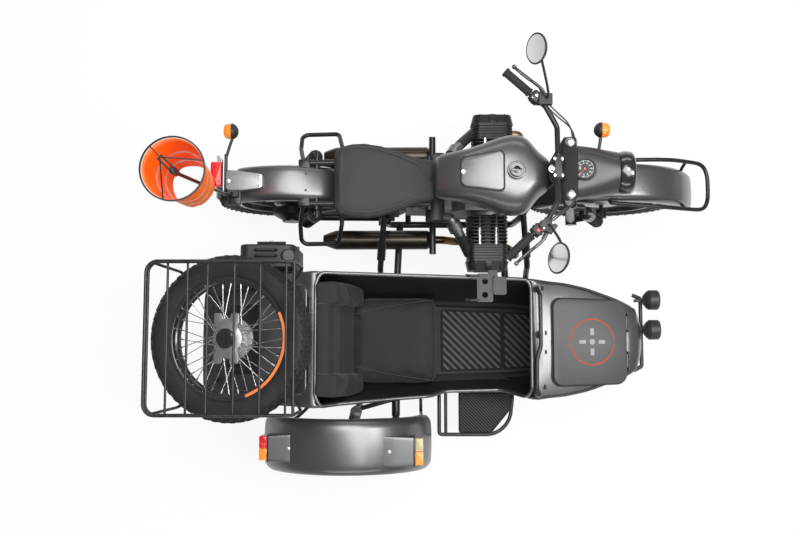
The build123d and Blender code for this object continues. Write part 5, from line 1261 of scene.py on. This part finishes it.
def hull(stations, floor_z, inset=0.0, deck=(), round_edge=0.012, rows=14):
    """Body skin from station to station: floor, sides and, with shares of the half width, the deck."""
    bm = bmesh.new()
    grid, decks = [], []
    for x in stations:
        # decks fall away towards their edges, the cockpit's edge does not
        fall = 0.017 * min(max((x - 0.395) / 0.07, (-0.575 - x) / 0.07, 0.0), 1.0) if deck else 0.0
        halves = []
        for side in (1, -1):
            crest = rim_height(x, side)
            top = crest - fall
            foot, edge = hull_point(x, floor_z, side, inset), hull_point(x, top, side, inset)
            half = [Vector((foot.x, CAR_Y + (foot.y - CAR_Y) * share, floor_z)) for share in (0.0, 0.5)]
            for i in range(rows):
                z = floor_z + (top - round_edge - floor_z) * i / (rows - 1)
                half.append(hull_point(x, z, side, inset))
            for k in range(1, 5):
                turn = math.pi / 2 * k / 4
                inward, down = side * round_edge * (1 - math.cos(turn)), round_edge * (1 - math.sin(turn))
                half.append(Vector((edge.x, edge.y - inward, top - down)))
            for share in deck:
                y = CAR_Y + (edge.y - side * round_edge - CAR_Y) * share
                half.append(Vector((edge.x, y, crest - fall * share ** 3)))
            halves.append(half)
        # the middle of the floor, and of the deck, comes with the left half alone
        line = halves[0] + halves[1][-2 if deck else -1:0:-1]
        grid.append([bm.verts.new(co) for co in line])
    for a, b in zip(grid, grid[1:]):
        count = len(a)
        for i in range(count):
            if not deck and i == count // 2:
                continue
            j = (i + 1) % count
            face = bm.faces.new((a[i], a[j], b[j], b[i]))
            if deck and abs(i + 0.5 - count // 2) < len(deck):
                decks.append(face)
    return bm, grid, decks


stations = {
    -0.572, -0.56, -0.548, -0.53, -0.515, -0.5, -0.485, -0.47,
    0.82, 0.83, 0.84, 0.855, 0.868, 0.876, 0.884, 0.892, 0.898, 0.902,
}
for first, step, count in (
    (-1.062, 0.0077, 7), (-1.000, 0.03, 15), (-0.45, 0.03, 13), (-0.072, 0.012, 9), (0.06, 0.03, 8),
    (0.29, 0.0107, 10), (0.41, 0.025, 17),
):
    stations |= {round(first + step * i, 4) for i in range(count)}
stations = sorted(stations)
skin, grid, decks = hull(stations, 0.285, deck=(0.96, 0.88, 0.79, 0.68, 0.55, 0.3, 0.0))
for ends in (grid[0], grid[-1]):
    bmesh.ops.contextual_create(skin, geom=ends)
outward(skin)


def opened(face):
    spot = face.calc_center_median()
    off = abs(spot.y - CAR_Y)
    return -0.548 < spot.x < 0.386 or (-0.98 < spot.x < -0.61 and off < 0.205) or (
        0.52 < spot.x < 0.78 and off < 0.15
    )


bmesh.ops.delete(skin, geom=[face for face in decks if opened(face)], context="FACES")
show("sidecar_hull", skin, "chassis", slate, ["sidecar_tub"], crease=50, solid=(0.0115, -1.0))

# black trim panels on the inside, and the bulkhead behind the seat
trim_black = finish(
    "trim_black", (0.008, 0.0085, 0.009), (0.015, 0.015, 0.016), 0.55, patch=(30, 0.5), grain=(600, 0.3),
    bump=0.0003,
)
lining, _, _ = hull([x for x in stations if -0.56 < x < 0.83], 0.2985, inset=0.013, round_edge=0.001)
outward(lining)
show(
    "sidecar_lining", lining, "chassis", trim_black, ["sidecar_tub"], crease=50,
    solid=(0.0012, 0.0),
)
bulkhead = bmesh.new()
section = [hull_point(-0.566, z, 1, 0.006) for z in (0.29, 0.345, 0.43, 0.52, 0.6, 0.68, 0.7455)]
section += [Vector((co.x, 2 * CAR_Y - co.y, co.z)) for co in reversed(section)]
wall = bulkhead.faces.new([bulkhead.verts.new((-0.572, co.y, co.z)) for co in section])
grown = bmesh.ops.extrude_face_region(bulkhead, geom=[wall])["geom"]
bmesh.ops.translate(
    bulkhead, vec=(0.012, 0, 0), verts=[v for v in grown if isinstance(v, bmesh.types.BMVert)]
)
outward(bulkhead)
show("sidecar_bulkhead", bulkhead, "chassis", trim_black, ["sidecar_tub"])

# rolled edge round the cockpit
right_run = [hull_point(x, rim_height(x, 1) - 0.003, 1, 0.0065) for x in np.linspace(-0.535, 0.372, 26)]
left_run = [hull_point(x, rim_height(x, -1) - 0.003, -1, 0.0065) for x in np.linspace(0.372, -0.535, 40)]
front_run = [(0.386, CAR_Y + y, 0.6835) for y in (0.225, 0.19, 0.1, 0.0, -0.1, -0.19, -0.225)]
rear_run = [(-0.5555, CAR_Y + y, 0.7475) for y in (-0.245, -0.21, -0.1, 0.0, 0.1, 0.21, 0.245)]
edge = right_run + front_run + left_run + rear_run
bent_tube("cockpit_edge", edge, 0.0085, "chassis", slate, ["sidecar_tub"], closed=True, sides=5)

# ------------ sidecar seat
# Foam cushion and a winged backrest in dark woven cover, each sewn from panels; the seams show
# as narrow welts that run from the rear corners towards the front.
weave_dark = finish(
    "weave_dark", (0.016, 0.017, 0.018), (0.026, 0.027, 0.028), 0.72, patch=(18, 0.5), grain=(1100, 0.35),
    bump=0.0005, sheen=0.08, specular=0.25,
)
CUSHION = [
    (-0.4165, 0.165, 0.3, 0.433, 6), (-0.412, 0.184, 0.299, 0.443, 7), (-0.38, 0.193, 0.299, 0.448, 8),
    (-0.25, 0.1945, 0.299, 0.457, 8), (-0.12, 0.1945, 0.299, 0.4655, 8), (-0.06, 0.194, 0.299, 0.468, 8),
    (-0.034, 0.19, 0.299, 0.46, 7), (-0.0235, 0.176, 0.3, 0.447, 6),
]
cushion_rows = [[list(co) for co in super_oval(*row, count=40, y=CAR_Y)] for row in CUSHION]
for loop in cushion_rows:
    for co in loop:
        limit = abs(hull_point(co[0], max(co[2], 0.3), 1, 0.0165).y - CAR_Y)
        co[1] = CAR_Y + max(-limit, min(limit, co[1] - CAR_Y))
cushion = swollen(loft(cushion_rows), 0.006, 0.006, 0.32)
cushion = show(
    "sidecar_cushion", cushion, "chassis", weave_dark, ["seat_cushion"], subdivide=1
)
SEAMS = {
    "cushion": [
        (-0.4, 0.12, 0.453), (-0.33, 0.138, 0.4575), (-0.22, 0.16, 0.465), (-0.11, 0.176, 0.4725),
        (-0.052, 0.184, 0.4735), (-0.034, 0.186, 0.46),
    ],
    "backrest": [
        (-0.392, 0.148, 0.492), (-0.41, 0.149, 0.56), (-0.446, 0.15, 0.64), (-0.474, 0.15, 0.716),
        (-0.484, 0.15, 0.752), (-0.51, 0.15, 0.7765), (-0.545, 0.15, 0.776),
    ],
}
for name, seam in SEAMS.items():
    for side in (1, -1):
        line = [(x, CAR_Y + side * y, z) for x, y, z in seam]
        bent_tube(f"{name}_seam_{side}", line, 0.0016, "chassis", piping_black)
back = bmesh.new()
# the middle panel and the two wings: lowest and highest y, and the front at the foot and at the brow
for low, high, foot, brow in (
    (-0.236, 0.236, -0.402, -0.486), (-0.2495, -0.152, -0.36, -0.446), (0.152, 0.2495, -0.36, -0.446),
):
    rows = []
    for z, front in (
        (0.476, foot), (0.5, foot + 0.002), (0.56, foot - 0.024), (0.64, foot - 0.06), (0.72, brow + 0.006),
        (0.758, brow - 0.006), (0.77, brow - 0.022),
    ):
        near = abs(hull_point(-0.5, min(z, 0.73), 1, 0.0175).y - CAR_Y)
        y_low, y_high = max(low, -near), min(high, near)
        rear = -0.5555 if z < 0.76 else -0.548
        row = []
        for i in range(40):
            c, s = math.cos(math.tau * i / 40), math.sin(math.tau * i / 40)
            x = (front + rear) / 2 + math.copysign(abs(c) ** 0.42, c) * (front - rear) / 2
            y = (y_low + y_high) / 2 + math.copysign(abs(s) ** 0.3, s) * (y_high - y_low) / 2
            row.append((x, CAR_Y + y, z))
        rows.append(row)
    merge(back, loft(rows))
backrest = swollen(back, 0.006, 0.005, 0.49)
backrest = show(
    "sidecar_backrest", backrest, "chassis", weave_dark, ["seat_backrest"], subdivide=1
)

# ------------ floor mat and step
# Moulded rubber with slanting ribs, on the floor and on the step's plate.


def ribbed(outline, low, high, pitch, width, margin=0.01):
    """A flat rubber sheet with slanting ribs that stop short of its edge."""
    thick = (high - low) * 0.5
    bm = plate(outline, low, low + thick, corner=0.012, edge=0.001)
    corners = [Vector((x, y, 0)) for x, y in outline]
    centre = sum(corners, Vector()) / len(corners)
    slanted = Matrix.Translation((centre.x, centre.y, low + thick * 1.5)) @ Matrix.Rotation(
        math.radians(-45), 4, "Z"
    )
    ribs = bmesh.new()
    for i in range(-24, 25):
        block(ribs, (0.7, width, thick + 0.0004), (0, i * pitch, 0), bevel=0.0007, segments=1, matrix=slanted)
    for a, b in zip(corners, corners[1:] + corners[:1]):
        out = (b - a).cross(Vector((0, 0, 1))).normalized()
        if out.dot(centre - a) > 0:
            out = -out
        everything = ribs.verts[:] + ribs.edges[:] + ribs.faces[:]
        bmesh.ops.bisect_plane(
            ribs, geom=everything, plane_co=a - out * margin, plane_no=out, clear_outer=True
        )
    bmesh.ops.holes_fill(ribs, edges=ribs.edges[:], sides=16)
    merge(bm, ribs)
    outward(bm)
    return bm


mat_rubber = finish(
    "mat_rubber", (0.005, 0.005, 0.005), (0.009, 0.009, 0.009), 0.62, patch=(30, 0.5), grain=(700, 0.25),
    bump=0.0002, specular=0.2,
)
# the tops of the ribs, on the mat and on the step's tread, are painted lighter than the dark sheet between
# them: a painted highlight where the raised ribs face the light
overpaint(mat_rubber, zone(mat_rubber, z=(0.3052, 0.311)), (0.06, 0.06, 0.059), 0.5)
overpaint(mat_rubber, zone(mat_rubber, z=(0.3374, 0.34)), (0.04, 0.04, 0.042), 0.5)
overpaint(trim_black, zone(trim_black, z=(0.29, 0.2995)), (0.006, 0.006, 0.006), 0.7)
for name, corners, replaced in (
    ("floor_mat_ribbed", wedge(0.006, 0.149, 0.299, 0.139), ["floor_mat"]),
    ("nose_mat", wedge(0.301, 0.139, 0.46, 0.128), ()),
):
    mat = ribbed([(x, CAR_Y + y) for x, y in corners], 0.2992, 0.3098, pitch=0.025, width=0.011)
    show(name, mat, "chassis", mat_rubber, replaced)
tread = [(0.087, -0.716), (0.238, -0.716), (0.336, -0.6), (0.336, -0.524), (0.087, -0.524)]
tread = ribbed(tread, 0.335, 0.339, pitch=0.011, width=0.0045, margin=0.008)
show("step_tread", tread, "chassis", mat_rubber)
spots = [(x, y, 0.337) for x, y in ((0.1, -0.704), (0.23, -0.704), (0.1, -0.536), (0.322, -0.536))]
bolts("step_bolts", "chassis", spots, 0.5, material=black_enamel)

# ------------ nose: landing pad lid, fasteners
# The nose hatch is a flat pad for a small drone, on a black seal, with a split orange ring and a
# plain dot between four short bars painted on. Four oval black clips hold the deck panel.
nose_at = Matrix.Translation((0.386, CAR_Y - 0.011, DECK_Z)) @ Matrix.Rotation(DECK_TILT, 4, "Y")
pad_grey = finish(
    "pad_grey", (0.05, 0.05, 0.053), (0.041, 0.041, 0.044), 0.46, metallic=0.35, patch=(5, 0.4),
    grain=(900, 0.2), bump=0.0001, coat=0.12, coat_roughness=0.3, specular=0.3,
)
for name, corners, shape, material, replaced in (
    (
        "landing_pad", wedge(0.0935, 0.1935, 0.43, 0.1815), (0.0053, 0.018, 0.044, 0.005, 4), pad_grey,
        ["pad_lid"],
    ),
    ("pad_panel", wedge(0.1005, 0.1865, 0.423, 0.1745), (0.0178, 0.0183, 0.04, 0.0004), pad_grey, ()),
    (
        "pad_seal", wedge(0.089, 0.198, 0.4345, 0.186), (0.0012, 0.0056, 0.048, 0.0012), seal_rubber,
        ["pad_lid"],
    ),
):
    show(name, plate(corners, *shape), "pad_lid", material, replaced, matrix=nose_at)
orange_paint = finish(
    "pad_orange", (0.45, 0.064, 0.005), (0.39, 0.054, 0.004), 0.55, patch=(40, 0.3), grain=(900, 0.15),
    specular=0.05,
)
pale_paint = finish(
    "pad_pale", (0.29, 0.306, 0.322), (0.26, 0.274, 0.29), 0.5, patch=(40, 0.3), grain=(900, 0.15),
    specular=0.2,
)
PAD_X = 0.2705
pad_centre = nose_at @ Matrix.Translation((PAD_X, 0, 0.0181)) @ UPRIGHT @ Matrix.Rotation(math.pi / 2, 4, "Y")
for name, start in (("rear", 4.0), ("front", 184.0)):
    arc = spun(
        [(0, 0.0975), (0, 0.1025), (0.0004, 0.1025), (0.0004, 0.0975)], steps=48, arc=172.0, start=start
    )
    show(f"pad_ring_{name}", arc, "pad_lid", orange_paint, matrix=pad_centre)
mark = blocks(
    *[
        ((*size, 0.0005), (PAD_X + dx, dy, 0.01835), 0.0001, 1)
        for dx, dy, size in (
            (-0.044, 0, (0.03, 0.016)), (0.044, 0, (0.03, 0.016)), (0, -0.044, (0.016, 0.03)),
            (0, 0.044, (0.016, 0.03)),
        )
    ]
)
rod(mark, 0.0125, 0.0005, Matrix.Translation((PAD_X, 0, 0.01835)), 40)
show("pad_mark", mark, "pad_lid", pale_paint, matrix=nose_at)


def hinge(x, z, spots):
    """Bored knuckle and leaf on the lid; pin, eyes and feet on the body."""
    fixed, moving = bmesh.new(), bmesh.new()
    for y in spots:
        at = Matrix.Translation((x, y, z))
        for low, high, radius in ((-0.04, 0.04, 0.0025), (-0.041, -0.031, 0.005), (0.031, 0.041, 0.005)):
            merge(fixed, spun([(low, 0), (low, radius), (high, radius), (high, 0)], steps=20), at)
        for end in (-0.036, 0.036):
            block(fixed, (0.008, 0.01, z), (x, y + end, z / 2), bevel=0.001, segments=1)
        knuckle = spun([(-0.0295, 0.0033), (-0.0295, 0.005), (0.0295, 0.005), (0.0295, 0.0033)], steps=20)
        merge(moving, knuckle, at)
        block(moving, (0.012, 0.058, 0.004), (x - 0.01, y, z), bevel=0.0008, segments=1)
    return fixed, moving


fixed, moving = hinge(0.4396, 0.0118, (-0.084, 0.084))
show("pad_hinge_pins", fixed, "chassis", black_enamel, ["sidecar_tub"], matrix=nose_at)
show("pad_hinge_leaves", moving, "pad_lid", black_enamel, ["pad_lid"], matrix=nose_at)
clad(cup_black, "controller_holder", "fog_lamps")
clips = bmesh.new()
for x, y in ((0.055, 0.235), (0.065, 0.039), (0.064, -0.044), (0.06, -0.197)):
    clip = spun([(0, 0), (0, 0.0085), (0.0022, 0.008), (0.0036, 0.0055), (0.004, 0.0)], steps=28)
    merge(clips, clip, Matrix.Translation((x, y, -0.0005)) @ Matrix.Diagonal((0.62, 1.25, 1, 1)) @ UPRIGHT)
    block(clips, (0.0015, 0.011, 0.0016), (x, y, 0.0036), bevel=0.0003, segments=1)
show("deck_clips", clips, "chassis", cup_black, matrix=nose_at)
for name, y in (("left", CAR_Y + 0.18), ("right", CAR_Y + 0.045)):
    glass = spun([(0.054, 0), (0.054, 0.034), (0.06, 0.034), (0.064, 0.02), (0.0655, 0)], steps=40)
    glass_at = Matrix.Translation((0.915, y, 0.545)) @ AHEAD
    show(f"fog_lens_{name}", glass, "chassis", lens_glass, matrix=glass_at)

# ------------ trunk lid and spare's carrier
# The lid carries a pressed box, the wheel on its stud with a black cap, and a bright clamp plate.
for name, corners, shape, material in (
    ("trunk_panel", wedge(-0.43, 0.215, -0.0095, 0.2445), (0.0053, 0.0183, 0.046, 0.005, 4), slate),
    ("trunk_seal", wedge(-0.434, 0.2195, -0.006, 0.249), (0.0012, 0.0056, 0.05, 0.0012), seal_rubber),
):
    show(name, plate(corners, *shape), "trunk_lid", material, ["trunk_lid"], matrix=trunk_frame)
strip = plate(wedge(-0.082, 0.228, -0.016, 0.233), 0.018, 0.019, corner=0.01, edge=0.0004)
show("trunk_step_mat", strip, "trunk_lid", trim_black, matrix=trunk_frame)
fixed, moving = hinge(0.0, 0.0118, (-0.15, 0.15))
show("trunk_hinge_pins", fixed, "chassis", black_enamel, ["sidecar_tub"], matrix=trunk_frame)
show("trunk_hinge_leaves", moving, "trunk_lid", black_enamel, ["trunk_lid"], matrix=trunk_frame)
carrier = loft([
    [
        (SPARE_X + sx * (0.06 - inset), sy * (0.15 - inset), z)
        for sx, sy in ((-1, -1), (1, -1), (1, 1), (-1, 1))
    ]
    for z, inset in ((0.018, 0.0), (0.1555, 0.029))
])
stud_at = Matrix.Translation((SPARE_X, 0, 0)) @ UPRIGHT
merge(carrier, spun([(0.15, 0), (0.15, 0.0095), (0.262, 0.0095), (0.262, 0)], steps=24), stud_at)
show("spare_carrier", carrier, "trunk_lid", black_enamel, ["trunk_lid"], matrix=trunk_frame)
clamp_steel = finish(
    "clamp_steel", (0.42, 0.42, 0.43), (0.3, 0.3, 0.31), 0.34, metallic=0.85, patch=(24, 0.6),
    grain=(700, 0.25), bump=0.0001,
)
half = [
    (-0.054, -0.104), (-0.021, -0.104), (-0.014, -0.08), (0.014, -0.08), (0.021, -0.104), (0.054, -0.104),
    (0.054, -0.062), (0.036, -0.03), (0.036, 0.03), (0.054, 0.062),
]
outline = half + [(-x, -y) for x, y in half]
clamp_plate = moved(
    plate(outline, 0.2445, 0.2485, corner=0.006, edge=0.001), Matrix.Translation((SPARE_X, 0, 0))
)
show("spare_clamp_plate", clamp_plate, "trunk_lid", clamp_steel, matrix=trunk_frame)
cap = spun([
    (0.248, 0), (0.248, 0.0415), (0.259, 0.0415), (0.264, 0.038), (0.266, 0.03), (0.2665, 0.014),
    (0.264, 0.0125), (0.264, 0),
], steps=48)
show("spare_cap", cap, "trunk_lid", gloss_black, ["trunk_lid"], matrix=trunk_frame @ stud_at)

# ------------ fuel can
# A ribbed plastic can in its steel tray, held by a strap and a T-handled screw.
can_black = finish(
    "can_black", (0.012, 0.011, 0.0105), (0.02, 0.0185, 0.0175), 0.5, patch=(12, 0.6), grain=(500, 0.3),
    bump=0.0004,
)
clad(can_black, "fuel_can")
spout = spun([
    (0.012, 0), (0.012, 0.0305), (0.014, 0.0312), (0.03, 0.0312), (0.0345, 0.03), (0.0365, 0.024),
    (0.0385, 0.022), (0.0385, 0),
], steps=40)
spout_at = Matrix.Translation((-0.69, 0.087, 0.668)) @ facing((0.3, 0, 1))
show("can_spout_cap", spout, "chassis", cup_black, matrix=spout_at)
spots = [(-0.88, 0.1445, 0.541), (-0.672, 0.1445, 0.541), (-0.775, 0.166, 0.56)]
bolts("can_tray_bolts", "chassis", spots, 0.9, way=(0, 1, 0))

# ------------ sidecar mudguard lamps
# Folded steel boxes welded to the mudguard carry a two-colour lens on a black gasket: pale and
# amber to the front, red and amber to the rear.
for name, x_low, x_high, y_low, y_high, z_high, ahead, lens_z in (
    ("front", -0.262, -0.1325, -0.8295, -0.7005, 0.7055, 1, (0.5885, 0.6915)),
    ("rear", -0.7635, -0.65, -0.8135, -0.6955, 0.6595, -1, (0.5485, 0.6455)),
):
    split, sections = (y_low + y_high) / 2, []
    for i in range(9):
        x = x_low + (x_high - x_low) * i / 8
        low = AXLE_Z + math.sqrt(0.3905 ** 2 - (x - CAR_AXLE[0]) ** 2)
        far = (x_high - x) if ahead > 0 else (x - x_low)
        top = z_high - 0.05 * max(far - 0.085, 0)
        sections.append(super_oval(x, (y_high - y_low) / 2, min(low, top - 0.02), top, 14, count=40, y=split))
    show(f"lamp_box_{name}", loft(sections), "chassis", slate, ["fender_lamps"], crease=45)
    edge, tall, middle = x_high if ahead > 0 else x_low, lens_z[1] - lens_z[0], sum(lens_z) / 2
    gasket = blocks(
        ((0.0078, y_high - y_low - 0.001, tall + 0.015), (edge + ahead * 0.0039, split, middle), 0.002)
    )
    show(f"lamp_gasket_{name}", gasket, "chassis", cup_black, ["fender_lamps"])
    for field, material, y0, y1 in (
        ("inner", clear_lens if ahead > 0 else red_lens, split + 0.0004, y_high - 0.0065),
        ("outer", amber, y_low + 0.0065, split - 0.0004),
    ):
        lens = blocks(((0.036, y1 - y0, tall), (edge + ahead * 0.0258, (y0 + y1) / 2, middle), 0.004, 3))
        show(f"lamp_lens_{name}_{field}", lens, "chassis", material, ["fender_lamps"])
    spot = (x_low + 0.026, split, z_high - 0.0015) if ahead > 0 else (x_high - 0.026, split, z_high - 0.0008)
    bolts(f"lamp_box_bolt_{name}", "chassis", [spot], 0.8)

# ------------ windsock
# Light orange nylon on a wire mouth, with a paler inner hem and two woven silver bands. It hangs
# open from three bridles and turns on its pole.
sock_orange = finish(
    "sock_orange", (0.96, 0.155, 0.003), (0.9, 0.12, 0.002), 0.62, patch=(7, 0.5), grain=(2200, 0.25),
    bump=0.0003, specular=0.25,
)
# the nylon also emits a faint orange light: a painted glow that keeps the sock's orange bright
tune(shader_of(sock_orange), Emission_Color=(1.0, 0.16, 0.003, 1), Emission_Strength=0.1)
for z_low, z_high in ((1.232, 1.25), (1.128, 1.146)):
    overpaint(sock_orange, zone(sock_orange, z=(z_low, z_high)), (0.52, 0.53, 0.55), 0.32, 0.5)
overpaint(sock_orange, zone(sock_orange, z=(1.372, 1.405)), (0.98, 0.28, 0.1), 0.6)
SOCK, TAIL_Z, MOUTH_Z = Vector((-1.025, 0.333, 0)), 1.051, 1.4015
TAIL_RADIUS, MOUTH_RADIUS = 0.089, 0.115
wall, rings = bmesh.new(), []
for k in range(37):
    t = k / 36
    z = TAIL_Z + (MOUTH_Z - TAIL_Z) * t
    radius = TAIL_RADIUS + (MOUTH_RADIUS - TAIL_RADIUS) * t
    slack = 0.0065 * math.sin(math.pi * min(1.0, (1 - t) * 1.6) * 0.5)
    ring = []
    for i in range(96):
        a = math.tau * i / 96
        fold = radius - slack * (1 + 0.6 * math.sin(5 * a + 1.3 + 1.7 * t) + 0.4 * math.sin(8 * a - 2.1 * t))
        ring.append(wall.verts.new(SOCK + Vector((math.cos(a) * fold, math.sin(a) * fold, z))))
    rings.append(ring)
for low, high in zip(rings, rings[1:]):
    for i in range(96):
        wall.faces.new((low[i], low[(i + 1) % 96], high[(i + 1) % 96], high[i]))
flat = local(wall, "nylon")
breeze = placed("breeze", None, (-1.6, 0.1, 1.2), (0, math.radians(90), 0))
with bpy.context.temp_override(object=breeze, active_object=breeze):
    bpy.ops.object.forcefield_toggle()
breeze.field.type, breeze.field.strength, breeze.field.noise = "WIND", 6.0, 3.0
stiff = {"quality": 6, "tension_stiffness": 40, "compression_stiffness": 40}
hung = draped(placed("nylon", flat), lambda co: co.z > 1.392, 24, 0.006, **stiff)
bpy.data.objects.remove(breeze)
# no fold stands out past the cut of the cone, nor below its tail
for vert, start in zip(hung.vertices, flat.vertices):
    out = Vector((vert.co.x - SOCK.x, vert.co.y - SOCK.y))
    limit = TAIL_RADIUS + (MOUTH_RADIUS - TAIL_RADIUS) * (start.co.z - TAIL_Z) / (MOUTH_Z - TAIL_Z)
    if out.length > limit:
        out *= limit / out.length
    vert.co = (SOCK.x + out.x, SOCK.y + out.y, max(vert.co.z, TAIL_Z - 0.0005))
wall = copied(hung)
sock = show("windsock_cloth", wall, "windsock_head", sock_orange, ["windsock"], crease=180,
            solid=(0.0008, -1.0))
